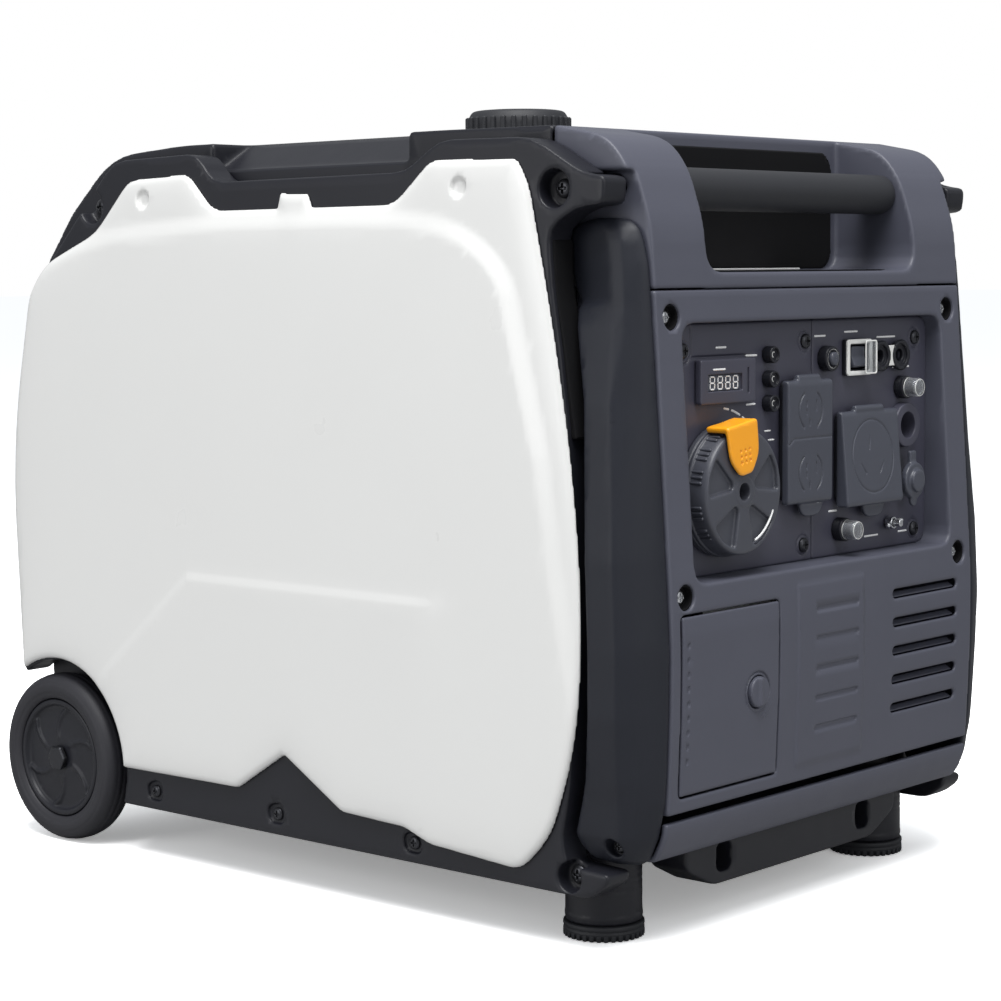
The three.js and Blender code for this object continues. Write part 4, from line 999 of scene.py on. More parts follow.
def ring_pattern() -> Pattern:
    """Copies round a level circle, each with its own X axis outwards.

    Returns:
        The pattern.
    """
    sizes = {"Count": "NodeSocketInt", "Radius": "NodeSocketFloat", "Centre": "NodeSocketVector"}
    pattern = Pattern("set_in_ring", sizes)
    given = pattern.given
    circle = pattern.add("GeometryNodeMeshCircle", {"Vertices": given["Count"], "Radius": given["Radius"]})
    place = pattern.add("GeometryNodeInputPosition")
    outwards = pattern.add(
        "FunctionNodeAlignRotationToVector", {"Vector": place.outputs["Position"]}, axis="X"
    )
    copies = pattern.copies(circle.outputs["Mesh"], Rotation=outwards.outputs["Rotation"])
    placed = pattern.add("GeometryNodeTransform", {"Geometry": copies, "Translation": given["Centre"]})
    return pattern.end(placed.outputs["Geometry"])


def row_pattern() -> Pattern:
    """Copies along a straight row.

    Returns:
        The pattern.
    """
    sizes = {"Count": "NodeSocketInt", "Start": "NodeSocketVector", "Step": "NodeSocketVector"}
    pattern = Pattern("set_in_row", sizes)
    given = pattern.given
    row = pattern.add(
        "GeometryNodeMeshLine",
        {"Count": given["Count"], "Start Location": given["Start"], "Offset": given["Step"]},
    )
    return pattern.end(pattern.copies(row.outputs["Mesh"]))


def scatter(
    name: str,
    part: bpy.types.Object,
    finish: Finish,
    places: Sequence[tuple[Corner, Corner, float]],
) -> bpy.types.Object:
    """Set copies of a part at chosen places.

    Args:
        name: The new object's name.
        part: The part, cast round the origin.
        finish: The copies' finish.
        places: Where each goes, how it is turned and how large it is.

    Returns:
        One mesh object.
    """
    mesh = bpy.data.meshes.new(name + "_points")
    mesh.from_pydata([world(*at) for at, _, _ in places], [], [])
    turn = mesh.attributes.new("turn", "FLOAT_VECTOR", "POINT")
    turn.data.foreach_set("vector", [c for _, angles, _ in places for c in angles])
    size = mesh.attributes.new("size", "FLOAT", "POINT")
    size.data.foreach_set("value", [s for _, _, s in places])
    return scatter_pattern().make(name, part, finish, points=mesh)


# ---------------------------------------------------------------- casing


@dataclass
class SidePanels:
    """The two pale panels: crowned, with a raised field below their upper tabs."""

    pitch: float = 1.5
    inner_face: float = 203.4
    tab_face: float = 206.7
    field_rise: float = 2.2
    field_step: float = 15.0
    ledge_rise: float = 0.9
    ledge_step: float = 9.0
    ledge_bend: float = 399.5  # where the pressed ledge starts to run down towards the wheel
    ledge_fade: float = 70.0
    edge_fall: float = 1.6
    edge_reach: float = 8.0
    screw_radius: float = 5.8
    screws: tuple[Corner, ...] = ((141, 472), (441, 472))
    arch: tuple[float, float, float] = (550, 62.5, 74)
    edge: tuple[Corner, ...] = (
        (95, 47, 10), (70, 72, 15), (51, 125, 40), (42, 197, 50), (49, 294, 60), (64, 384, 60), (83, 472, 8),
        (93, 489.5, 6), (166, 491, 8), (199, 464, 10), (272, 464), (276, 473, 2), (304, 474, 2), (307, 464),
        (369, 464, 10), (394, 489.5, 8), (458, 487, 10), (497, 450, 12), (552, 429, 12), (571, 409, 15),
        (597, 290, 60), (590, 133, 4), (590, 70), (479, 64, 4), (354, 65, 4), (307, 94, 3), (252, 62, 4),
        (195, 60, 4), (172, 52, 4),
    )
    raised_field: tuple[Corner, ...] = (
        (640, 399), (568, 413), (549, 430, 25), (490, 447, 40), (366, 454.5), (257, 455), (188, 454, 20),
        (140, 446, 40), (103, 420, 40), (94, 384), (74, 307), (62, 230), (40, 120), (40, 20), (640, 20),
    )

    def surface(self, y: Array, z: Array, edge: Array) -> Array:
        """How far out the panel's face stands.

        Args:
            y: Distances back.
            z: Heights.
            edge: Signed distance to the panel's edge.

        Returns:
            Its distance from the generator's middle plane.
        """
        field_edge = plan_distance(outline(self.raised_field), y, z)
        rise = self.field_rise * ease(-field_edge / self.field_step + 0.5)
        level = y < self.ledge_bend
        ridge = np.where(level, 210.0, 209.0 - (y - self.ledge_bend) * 0.82)
        below = (ridge - z) * np.where(level, 1.0, 0.78)
        fade = ease((y - 145) / 40) * ease((530 - y) / 60) * np.exp(-np.maximum(below, 0) / self.ledge_fade)
        ledge = self.ledge_rise * ease(below / self.ledge_step + 0.5) * fade
        fall = self.edge_fall * np.exp(np.minimum(edge, 0) / self.edge_reach)
        return self.tab_face + rise + ledge - fall

    def build(self) -> None:
        """Cast both panels."""
        points = outline(self.edge)
        (y_low, z_low), (y_high, z_high) = points.min(0), points.max(0)
        for side in (-1, 1):
            low, high = span(side, self.inner_face, self.tab_face + self.field_rise + self.ledge_rise)
            clay = Clay((low, y_low, z_low), (high, y_high, z_high), self.pitch)
            y, z = clay.axes[1][:, None], clay.axes[2][None, :]
            edge = plan_distance(points, y, z)
            edge = np.maximum(edge, self.arch[2] - np.hypot(y - self.arch[0], z - self.arch[1]))
            face = self.surface(y, z, edge)
            out = side * clay.axes[0][:, None, None]
            body = -blended(-edge[None], -(out - face[None]), 5.0)
            clay.values = -blended(-body, out - self.inner_face, 1.0).astype(np.float32)
            well = span(side, self.inner_face + 1.2, 215)
            for u, v in self.screws:
                clay.carve(rod("x", u, v, self.screw_radius, *well, edge=1), blend=1.5)
            name = "side_panel_" + side_name(side)
            settle(clay.cast(name + "_skin", adaptivity=0.004), PANEL, [name])


@dataclass
class SideFrames:
    """The dark trays behind the side panels, and the upright bumpers at the front corners."""

    outer_face: float = 203.0
    sill_wells: tuple[Corner, ...] = ((445, 50.5), (319, 51.5), (190, 50.5))
    sill_well_depth: float = 2.9
    guard_well: tuple[float, float] = (29.5, 69)
    upper_wells: tuple[Corner, ...] = ((66.7, 469.3, 11.4), (502, 468, 11.6))
    # outline of the painted shade in the shadowed gap between a bumper and its tray
    shade_patch: tuple[Corner, ...] = (
        (52.5, 318), (56.3, 340, 20), (61.5, 378, 20), (67.6, 406, 10), (69.0, 425, 8), (69.2, 439, 4),
        (74, 441), (74, 425), (64, 378), (60, 318),
    )

    def build(self) -> None:
        """Cast the frames, the guards and the painted shade behind them, as near-black patches where the gap
        and the wells lie in shadow.
        """
        for side in (-1, 1):
            self.frame(side)
            self.guard(side)
            self.painted_shade_patches(side)

    def frame(self, side: int) -> None:
        """One tray, with a well round each screw along its sill.

        Args:
            side: -1 on the left, 1 on the right.
        """
        name = "side_frame_" + side_name(side)
        clay = Clay.of_node(name, 1.25).soften(1.0)
        reach = span(side, self.outer_face - self.sill_well_depth, self.outer_face + 4)
        for y, z in self.sill_wells:
            corners = ((-7, 7, 5), (-8, -7, 6), (7, -7, 6), (9, 4, 5), (0, 8, 5))
            well = [(y + u, z + v, soft) for u, v, soft in corners]
            clay.carve(prism("x", well, *reach), blend=1)
        settle(clay.cast(name + "_moulding"), FRAME, [name])

    def guard(self, side: int) -> None:
        """One bumper, with the floored well of its lower screw.

        Args:
            side: -1 on the left, 1 on the right.
        """
        name = "corner_guard_" + side_name(side)
        guard = Clay.of_node(name, 1.1, room=2).soften(1.4)
        guard.carve(rod("x", *self.guard_well, 5.8, *span(side, 180, 215)), blend=1.6)
        guard.join(rod("x", *self.guard_well, 6.6, *span(side, 176, 186)))
        settle(guard.cast(name + "_moulding"), GUARD, [name])

    def painted_shade_patches(self, side: int) -> None:
        """Painted shade: a near-black patch where the gap between a bumper and its tray lies in shadow, and
        near-black walls and floors in the upper wells, where shade falls.

        Args:
            side: -1 on the left, 1 on the right.
        """
        # painted shade: near-black patch in the gap and near-black cups in the upper wells, where shadow
        # falls
        shade_patch = Clay.of_shapes(0.9, prism("x", self.shade_patch, *span(side, 180.9, 199.0)))
        for y, z, radius in self.upper_wells:
            shade_patch.join(ring("x", y, z, radius, 0.9, *span(side, 191.0, 201.6)))
            shade_patch.join(ring("x", y, z, radius, radius - 5.4, *span(side, 191.0, 191.7)))
        settle(shade_patch.cast("frame_lining_" + side_name(side)), PAINTED_SHADE, body="root")


@dataclass
class FrontFace:
    """The front face: the fascia with its recess, the sill, the service door and its latch."""

    screw_x: float = 156.7
    screw_heights: tuple[float, float] = (391, 221)
    well_radius: float = 8.0
    well_depth: float = 7.0
    pad: tuple[float, float, float, float] = (-40, 36, 98, 218)  # left, right, low and high
    pad_rise: float = 0.9
    pad_slots: tuple[float, ...] = (121.5, 141.1, 160.7, 180.3, 199.9)
    door: tuple[float, float, float, float] = (-162, -61, 98.5, 209.5)
    door_gap: float = 1.3
    notch_count: int = 9
    latch: tuple[float, float] = (-84, 154)
    latch_radius: float = 12.0
    lean: float = 0.064
    blade_count: int = 5

    def depth(self, z: float) -> float:
        """How far back the face lies at a height."""
        return (z - 200) * self.lean if z > 200 else (200 - z) ** 2 * 3e-4

    def screws(self) -> list[tuple[float, float, float]]:
        """Where the heads of the face's four screws sit."""
        columns = (-self.screw_x, self.screw_x)
        return [(x, self.depth(z) + self.well_depth, z) for x in columns for z in self.screw_heights]

    def build(self) -> None:
        """Cast the face's pieces."""
        self.fascia()
        self.well_shade_patches()
        self.louvre_blades()
        dress_node("front_sill", "moulding", SHELL, 1.0, 0.8)
        self.service_door()
        dress_node("door_latch", "moulding", SHELL, 0.6, 0.6)

    def fascia(self) -> None:
        """The face, with its screw wells, the raised pad with its slots, and the seam round the door."""
        clay = Clay.of_node("front_fascia", 1.1).soften(0.9)
        for x, y, z in self.screws():
            clay.join(rod("y", x, z, self.well_radius + 1.6, y - 6, y + 2.5))
            clay.carve(rod("y", x, z, self.well_radius, -5, y, edge=1), blend=1.2)
        left, right, low, high = self.pad
        heights = ((low, 3), (150, 20), (200, 20), (high, 3))
        front = [(self.depth(z) - self.pad_rise, z, soft) for z, soft in heights]
        clay.join(prism("x", (*front, (4, high), (7, 150), (7, low)), left, right, edge=0.4), blend=1.0)
        for z in self.pad_slots:
            reach = (self.depth(z) - 4, self.depth(z) + 0.6)
            clay.carve(slab("y", (left + 20, right - 7), (z - 1.6, z + 1.6), *reach, corner=1.5), blend=0.8)
        a, b, c, d = self.door
        gap = self.door_gap
        clay.carve(slab("y", (a - gap, b + gap), (c - gap, d + gap), -6, 8, corner=5), blend=0.6)
        settle(clay.cast("front_fascia_moulding"), SHELL, ["front_fascia"])

    def well_shade_patches(self) -> None:
        """Painted shade: near-black cups in the face's screw wells, where shadow falls."""
        cups = []
        for x, y, z in self.screws():
            wall = ((7.0, y - 5.6), (7.9, y - 5.6), (7.9, y), (4.9, y), (4.9, y - 0.5), (7.0, y - 0.5))
            cups.append(turned("y", x, z, wall))
        settle(Clay.of_shapes(0.5, *cups).cast("front_well_linings"), PAINTED_SHADE, body="root")

    def louvre_blades(self) -> None:
        """Slanted blades inside the five air slots, copied up the face in a row."""
        section = ((0, -3.4, 0.5), (5.5, -0.6, 0.5), (5.5, 0.6, 0.5), (0, -2.2, 0.5))
        blade = local_part("blade", Clay.of_shapes(0.8, prism("x", section, -40.6, 40.6)))
        step = Vector((0, -0.0004, 0.0196))
        row = row_pattern().make(
            "louvre_blades", blade, SHELL, Count=self.blade_count, Start=world(112.5, 4.4, 121.5), Step=step
        )
        bpy.data.objects.remove(blade)
        settle(row, SHELL, body="root")

    def service_door(self) -> None:
        """The door, with a column of notches at its hinge and the seam and marks round its latch."""
        a = self.door[0]
        door = Clay.of_node("maintenance_door", 0.8).soften(0.6)
        for i in range(self.notch_count):
            deepest = self.depth(120 + i * 9) + 0.7
            notch = slab("y", (a + 5, a + 7.4), (118 + i * 9, 121.5 + i * 9), -5, deepest, corner=1)
            door.carve(notch, blend=0.3)
        x, z = self.latch
        start = self.depth(z)
        door.carve(ring("y", x, z, self.latch_radius + 0.6, 1.0, -4, start + 0.9), blend=0.4)
        door.join(
            strand(arc(x, z, 16.5, -75, 5, start + 0.1), 0.55),
            strand(arc(x, z, 18.6, -70, -20, start + 0.1), 0.4),
        )
        settle(door.cast("maintenance_door_moulding"), SHELL, ["maintenance_door"])


@dataclass
class GripArch:
    """The housing over the control panel, with the hand grip across its pocket."""

    grip: tuple[float, float] = (43, 470)
    sleeve_radius: float = 13.5
    sleeve_half: float = 117.6
    tube_radius: float = 7.0
    tube_half: float = 197.4
    pocket_back: float = 79.8
    pocket_floor: float = 418.1

    def build(self) -> None:
        """Cast the housing, the grip's sleeve and its tube, the painted shade on the pocket's back wall and
        floor, and the label.
        """
        dress_node("handle_housing", "moulding", SHELL, 1.1, 1.1)
        y, z = self.grip
        half = self.sleeve_half
        sleeve = Clay.of_shapes(0.8, rod("x", y, z, self.sleeve_radius, -half, half, edge=1.5))
        sleeve.carve(rod("x", y, z, self.tube_radius + 0.4, -130, 130))
        settle(sleeve.cast("grip_sleeve_smooth"), RUBBER, ["grip_sleeve"])
        half = self.tube_half
        tube = Clay.of_shapes(0.8, rod("x", y, z, self.tube_radius, -half, half, edge=0.8))
        settle(tube.cast("handle_tube_round"), BLACK_STEEL, ["handle_tube"])
        back, floor = self.pocket_back, self.pocket_floor
        # painted shade: near-black sheets on the pocket's back wall and floor, where shadow falls
        shade_patch = Clay.of_shapes(
            0.9,
            slab("y", (-112, 112), (419.5, 500), back - 0.9, back, corner=14),
            slab("z", (-108, 108), (30, back), floor, floor + 0.8, corner=3),
        )
        settle(shade_patch.cast("pocket_lining"), PAINTED_SHADE, body="root")
        corners = ((-70, 54, 3), (40, 54, 3), (40, 76, 3), (-70, 76, 3))
        label = Clay.of_shapes(0.6, prism("z", corners, floor + 0.9, floor + 2.3))
        settle(label.cast("blank_label"), PAINT, body="root")


@dataclass
class TopAndRear:
    """The top cover, the rear shell, the floor pan and the fuel cap."""

    slope_half: float = 177.0
    slope_lining: tuple[Corner, ...] = (
        (440, 507), (470, 506), (499, 503, 20), (549, 463.5, 8), (579, 430), (572, 430), (543, 459),
        (494, 497, 15), (440, 500),
    )
    cap: tuple[float, float] = (0.0, 271.0)
    cap_radius: float = 38.0
    cap_low: float = 511.2
    cap_high: float = 533.6
    rib_radius: float = 36.0
    rib_count: int = 30

    def build(self) -> None:
        """Cast the three shells and the cap."""
        cover = Clay.of_node("top_cover", 1.6)
        # The rear slope's wall is as thin as the lattice, so it is backed before its edges are rounded.
        cover.join(prism("x", self.slope_lining, -self.slope_half, self.slope_half))
        cover.soften(1.3)
        cover.carve(ring("z", *self.cap, self.cap_radius + 6, 1.6, 509.2, 515), blend=0.8)
        settle(cover.cast("top_cover_moulding"), FRAME, ["top_cover"])
        dress_node("rear_shell", "moulding", FRAME, 1.6, 1.0)
        dress_node("base_pan", "moulding", FRAME, 1.6, 0.8)
        self.fuel_cap()

    def fuel_cap(self) -> None:
        """The filler cap, with grip ribs set round its rim."""
        x, y = self.cap
        rim, top = self.cap_low, self.cap_high
        profile = (
            (0, top - 4.6), (25.5, top - 4.6), (25.5, rim), (self.rib_radius, rim, 0.6),
            (self.rib_radius, top - 6, 2), (33, top - 0.6, 2.5), (28, top, 1.5), (0, top),
        )
        cup = Clay.of_shapes(0.7, turned("z", x, y, profile))
        grooves = [ring("z", x, y, 27, 1.2, top - 0.9, top + 2), ring("z", x, y, 12, 1.0, top - 0.7, top + 2)]
        cup.carve(*grooves, blend=0.6)
        cup.join(rod("z", x, y, 3.2, top - 2, top - 0.15, edge=0.5), blend=1)
        settle(cup.cast("fuel_cap_cup"), RUBBER, ["fuel_cap"])
        shape = slab("z", (-1.2, 1.9), (-1.7, 1.7), -8.2, 8.2, corner=1.1, edge=0.8)
        rib = local_part("rib", Clay.of_shapes(0.5, shape))
        ribs = ring_pattern().make(
            "fuel_cap_ribs",
            rib,
            RUBBER,
            Count=self.rib_count,
            Radius=self.rib_radius * MM,
            Centre=world(x, y, (rim + top) / 2 - 2),
        )
        bpy.data.objects.remove(rib)
        settle(ribs, RUBBER, body=frame["nodes"]["fuel_cap"]["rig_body"])


# ---------------------------------------------------------------- running gear


@dataclass
class RunningGear:
    """Two wheels on an axle behind, two feet in front and the towing handle under the floor."""

    axle: tuple[float, float] = (550, 62.5)
    axle_radius: float = 6.0
    nut_radius: float = 9.8
    wheel_outer: float = 209.5
    wheel_width: float = 28.0
    tyre_radius: float = 62.5
    rim_radius: float = 44.0
    bore_radius: float = 7.0
    vane_count: int = 6
    foot: tuple[float, float] = (150, 73)
    foot_radius: float = 25.0
    foot_top: float = 57.0
    pad_height: float = 10.0
    tooth_count: int = 34

    def build(self) -> None:
        """Cast the wheels, the axle, the feet and the towing handle."""
        for side in (-1, 1):
            self.wheel(side)
            self.stand(side)
        y, z = self.axle
        hexagonal = hexagon(y, z, self.nut_radius, 1)
        reach = (self.wheel_outer - 4.2, self.wheel_outer - 0.3)
        nuts = [prism("x", hexagonal, *span(side, *reach), edge=0.6) for side in (-1, 1)]
        axle = Clay.of_shapes(0.9, rod("x", y, z, self.axle_radius, -205, 205), *nuts)
        settle(axle.cast("axle_round"), BLACK_STEEL, ["axle"])
        tow = Clay.of_node("tow_handle", 1.1).soften(0.9)
        for x in (-80, 80):
            tow.carve(slab("y", (x - 8.5, x + 8.5), (34, 53), 22, 43, corner=6), blend=1.2)
        settle(tow.cast("tow_handle_moulding"), FRAME, ["tow_handle"])

    def wheel(self, side: int) -> None:
        """One wheel: a grooved tyre and a rim with curved vanes.

        Args:
            side: -1 on the left, 1 on the right.
        """
        y, z = self.axle
        out = self.wheel_outer
        inner = out - self.wheel_width
        r = self.tyre_radius
        seat = self.rim_radius

        def both(profile: Sequence[Corner]) -> list[Corner]:
            """A profile with its distances outwards turned to this side's x."""
            return [(p[0], side * p[1], *p[2:]) for p in profile]

        section = both(
            (
                (seat, inner + 3, 2), (seat + 5, inner + 0.4, 3), (r - 5, inner + 0.6, 6),
                (r - 0.2, inner + 7, 6), (r - 0.2, out - 7, 6), (r - 5, out - 0.6, 6),
                (seat + 5, out - 0.4, 3), (seat, out - 3, 2),
            )
        )
        tyre = Clay.of_shapes(1.0, turned("x", y, z, section))
        for radius, depth in ((seat + 4, 1.2), (r - 6.5, 1.0)):
            tyre.carve(ring("x", y, z, radius, 1.5, *span(side, out - depth, out + 3)), blend=1.0)
        for offset in (-5.5, 0, 5.5):
            middle = side * (out - self.wheel_width / 2) + offset
            tyre.carve(ring("x", y, z, r + 0.6, 2.8, middle - 0.9, middle + 0.9), blend=0.8)
        settle(tyre.cast(f"tyre_{side_name(side)}_rubber"), TYRE, ["tyre_" + side_name(side)])
        face = out - 6.5
        section = both(
            (
                (self.bore_radius, inner + 1), (15, inner + 1), (15, face - 6), (seat - 5, face - 6),
                (seat - 5, inner + 3), (seat - 0.4, inner + 3, 1), (seat - 0.4, out - 3.2, 1.2),
                (seat - 4, out - 3, 1.2), (seat - 6, face, 2), (20, face + 0.6, 3), (14, out - 5, 1.5),
                (self.bore_radius, out - 5),
            )
        )
        rim = Clay.of_shapes(0.9, turned("x", y, z, section))
        for i in range(self.vane_count):
            start = i * 360 / self.vane_count + 20
            path = []
            for radius, bend in ((15, 0), (21, 3), (27, 8), (33, 15), (37, 22)):
                angle = math.radians(start + bend)
                path.append((side * (face + 0.2), y + radius * math.cos(angle), z + radius * math.sin(angle)))
            rim.join(strand(path, 1.5), blend=2.0)
        settle(rim.cast(f"rim_{side_name(side)}_disc"), FRAME, ["rim_" + side_name(side)])

    def stand(self, side: int) -> None:
        """One foot: a moulded column and its rubber pad with a toothed lower edge.

        Args:
            side: -1 on the left, 1 on the right.
        """
        x, y = side * self.foot[0], self.foot[1]
        r, seam, top = self.foot_radius, self.pad_height + 0.4, self.foot_top
        section = ((0, seam), (r - 0.4, seam, 1), (r - 0.4, top, 0.8), (0, top))
        column = Clay.of_shapes(0.8, turned("z", x, y, section))
        column.join(ring("z", x, y, r - 1.0, 1.6, self.pad_height + 3, self.pad_height + 5.5), blend=0.8)
        for z in (32, 36.5, 41):
            column.carve(ring("z", x, y, r + 0.6, 2.2, z - 0.7, z + 0.7), blend=0.8)
        settle(column.cast(f"foot_{side_name(side)}_column"), FRAME, ["foot_" + side_name(side)])
        section = (
            (0, 0), (r - 1.4, 0, 0.5), (r - 0.2, 2, 0.8), (r + 1, 4.4, 0.8), (r + 1, 9.9, 1.2), (0, 9.9),
        )
        pad = Clay.of_shapes(0.8, turned("z", x, y, section))
        pad.carve(ring("z", x, y, r + 1, 1.4, 5.6, 6.6), blend=0.6)
        settle(pad.cast(f"foot_pad_{side_name(side)}_rubber"), RUBBER, ["foot_pad_" + side_name(side)])
        shape = slab("z", (-1.8, 1.2), (-1.5, 1.5), -2.3, 1.8, corner=0.6, edge=0.4)
        tooth = local_part("tooth", Clay.of_shapes(0.5, shape))
        teeth = ring_pattern().make(
            f"foot_teeth_{side_name(side)}",
            tooth,
            RUBBER,
            Count=self.tooth_count,
            Radius=(r - 0.2) * MM,
            Centre=world(x, y, 2.4),
        )
        bpy.data.objects.remove(tooth)
        settle(teeth, RUBBER, body="root")


# ---------------------------------------------------------------- control panel


@dataclass
class ControlPanel:
    """The recessed panel with the run dial, the meter, the outlets, the breakers and the small switches."""

    face: float = 23.0  # depth of the plates' face
    dial: tuple[float, float] = (-96, 281.5)
    dial_radius: float = 39.5
    pocket_count: int = 5
    tongue_turn: float = 9.0  # how far the tongue leans anticlockwise, in degrees
    meter_window: tuple[float, float, float, float] = (-113.4, -77.6, 344, 354.5)
    digit_start: tuple[float, float] = (-107.6, 349.2)
    digit_pitch: float = 8.1
    lamps: tuple[float, float] = (-44, 349.5)
    lamp_pitch: float = 15.6
    duplex: tuple[float, float] = (-8, 308.5)
    twistlock: tuple[float, float] = (63, 294)
    dc: tuple[float, float] = (114, 312)
    ac_breaker: tuple[float, float] = (38, 245.8)
    dc_breaker: tuple[float, float] = (113, 338)
    reset: tuple[float, float] = (21.5, 360.5)
    throttle: tuple[float, float] = (56.5, 360.3)
    parallel: tuple[float, float] = (96, 360.3)
    ground: tuple[float, float] = (98, 245.5)
    plate_screws: tuple[Corner, ...] = (
        (-1.3, 372.6), (130.6, 371.9), (-3, 238.6), (130.9, 238.7), (-133, 369.9),
    )
    rules: tuple[Corner, ...] = (  # each printed rule's two ends and its height
        (-98, -88, 371), (-66, -55, 365), (-66, -58, 350), (-66, -57, 334), (-3, 8, 343.5), (10, 22, 375.5),
        (45, 60, 377.5), (84, 106, 373), (104, 124, 352), (27, 36, 258.5), (70, 86, 238), (112, 122, 238),
    )

    def build(self) -> None:
        """Cast the plates and every control on them."""
        self.plates()
        self.run_dial()
        self.display()
        self.lamp_column()
        self.duplex_outlet()
        self.twistlock_outlet()
        self.sockets()
        self.breakers()
        self.reset_switch()
        self.throttle_switch()
        self.earth_terminal()
        self.marks()

    def plates(self) -> None:
        """The two plates, with the seams and bosses pressed into them."""
        y = self.face
        seams = (
            ((-124, y, 384), (-124, y, 367), (-128, y, 362.5), (-134, y, 360.5), (-146, y, 360.5)),
            ((-123, y, 365.4), (-60, y, 365.4)),
        )
        for side, screws in (("left", self.plate_screws[::2]), ("right", self.plate_screws[1::2])):
            name = "control_panel_" + side
            plate = Clay.of_node(name, 0.8).soften(0.5)
            if side == "left":
                plate.carve(*(strand(seam, 0.7) for seam in seams), blend=0.5)
            for x, z in screws:
                plate.carve(ring("y", x, z, 6.6, 0.9, y - 0.5, y + 0.5), blend=0.4)
            settle(plate.cast(name + "_plate"), PLATE, [name])

    def marks(self) -> None:
        """The plain white marks printed on the plates: a broken arc round the dial, ticks and short rules."""
        y = self.face
        arcs = ((78, 5), (64, 10), (50, 10), (38, 8))
        strokes = [strand(arc(*self.dial, 51.5, start, start + length, y), 0.9) for start, length in arcs]
        strokes += [strand(((u, y, v), (u + 6, y, v)), 0.7) for u, v in ((-46, 316), (-42, 310))]
        strokes += [strand(((a, y, v), (b, y, v)), 0.8) for a, b, v in self.rules]
        strokes.append(strand(((-108, y - 5.6, 357.6), (-96, y - 5.6, 357.6)), 0.7))
        settle(Clay.of_shapes(0.45, *strokes).cast("printed_marks"), PAINT, body="root")

    def run_dial(self) -> None:
        """The dial: a thick skirted knob with sloping finger pockets, grip ridges and an orange tongue."""
        x, z = self.dial
        face, back = self.face - 21, self.face - 1
        r = self.dial_radius
        profile = (
            (0, face), (r - 1.2, face, 1.5), (r, face + 1.6, 1.2), (r + 1.2, back - 7.5, 0.8),
            (r + 2.3, back - 7, 0.8), (r + 2.3, back), (0, back),
        )
        shaft = rod("y", x, z, 5.6, back - 1, self.face + 16)
        knob = Clay.of_shapes(0.55, turned("y", x, z, profile), shaft)
        knob.carve(ring("y", x, z, r + 2.2, 1.4, back - 4.8, back - 4.0), blend=0.6)
        wedge = (
            (x + 12, z - 2.2, 2.5), (x + 34, z - 12.5, 3), (x + 37, z, 4), (x + 34, z + 12.5, 3),
            (x + 12, z + 2.2, 2.5),
        )
        pocket = prism("y", wedge, face - 4, face + 3.2, edge=1.2)
        for i in range(self.pocket_count):
            turn = 18 + i * 360 / self.pocket_count
            if i != 1:  # the tongue covers this one
                knob.carve(moved(pocket, turn, x, z), blend=1.8)
        knob.join(ring("y", x, z, 7.6, 3.4, face - 0.2, face + 3, edge=0.5), blend=1.2)
        knob.carve(rod("y", x, z, 5.4, face - 4, face + 11, edge=0.5), blend=0.8)
        settle(knob.cast("run_dial_knob"), KNOB, ["run_dial"])
        self.dial_ridges(r + 0.5, face + 9.5)
        # painted reflection: a white arc on the dial's face towards its lower right edge, where the light
        # catches it
        dial_reflection = Clay.of_shapes(0.4, strand(arc(x, z, 33, -70, -25, face + 0.1), 0.7))
        settle(dial_reflection.cast("run_dial_arc"), PAINT, body="run_dial")
        self.tongue()

    def dial_ridges(self, radius: float, middle: float) -> None:
        """The grip ridges in groups of three round the dial's side.

        Args:
            radius: How far they stand from the dial's axis.
            middle: The depth of their middles.
        """
        x, z = self.dial
        shape = slab("z", (-1.1, 1.1), (-0.9, 0.9), -5.5, 5.5, corner=0.7, edge=0.7)
        ridge = local_part("ridge", Clay.of_shapes(0.4, shape))
        ridges = []
        for group in (120, 142, 164, 196, 218):
            for step in (-5, 0, 5):
                a = math.radians(group + step)
                at = (x + radius * math.cos(a), middle, z + radius * math.sin(a))
                ridges.append((at, (math.pi / 2, -a, 0.0), 1.0))
        settle(scatter("run_dial_ridges", ridge, KNOB, ridges), KNOB, body="run_dial")
        bpy.data.objects.remove(ridge)

    def tongue(self) -> None:
        """The orange tongue, with nine dimples in its face."""
        x, z = self.dial
        tongue = Clay.of_node("dial_pointer", 0.45).soften(0.9)
        c, s = math.cos(math.radians(self.tongue_turn)), math.sin(math.radians(self.tongue_turn))
        for row in range(3):
            for column in range(3):
                u, v = (column - 1) * 4.6, 19.5 + row * 3.6
                at = (x + u * c - v * s, z + u * s + v * c)
                tongue.carve(rod("y", *at, 0.85, -6, -0.9, edge=0.2), blend=0.4)
        settle(tongue.cast("dial_tongue"), ORANGE, ["dial_pointer"])

    def display(self) -> None:
        """The running-hours meter with its window and digits."""
        front = self.face - 5.5
        left, right, low, high = self.meter_window
        box = Clay.of_node("display_meter", 0.5).soften(0.5)
        box.carve(slab("y", (left, right), (low, high), front - 2, front + 1.6, corner=0.6), blend=0.4)
        box.carve(slab("y", (-71.6, -70.2), (342, 358), front - 2, front + 1.2), blend=0.3)
        settle(box.cast("display_meter_box"), PLATE, ["display_meter"])
        glass = Clay.of_shapes(0.5, slab("y", (left, right), (low, high), front + 1.2, front + 2.2, edge=0.2))
        settle(glass.cast("display_glass"), COVER, body="root")
        shape = slab("y", (-1.9, 1.9), (-0.45, 0.45), -0.25, 0.25, corner=0.4)
        bar = local_part("bar", Clay.of_shapes(0.2, shape))
        bars: list[tuple[Corner, Corner, float]] = []
        start, middle = self.digit_start
        for digit in range(4):
            u = start + digit * self.digit_pitch
            bars += [((u, front + 1.0, middle + v), (0, 0, 0), 1.0) for v in (-3.9, 0, 3.9)]
            for side in (-1, 1):
                upright = (0, math.pi / 2, 0)
                bars += [((u + side * 2.3, front + 1.0, middle + v), upright, 0.85) for v in (-2, 2)]
        settle(scatter("display_digits", bar, PAINT, bars), PAINT, body="root")
        bpy.data.objects.remove(bar)

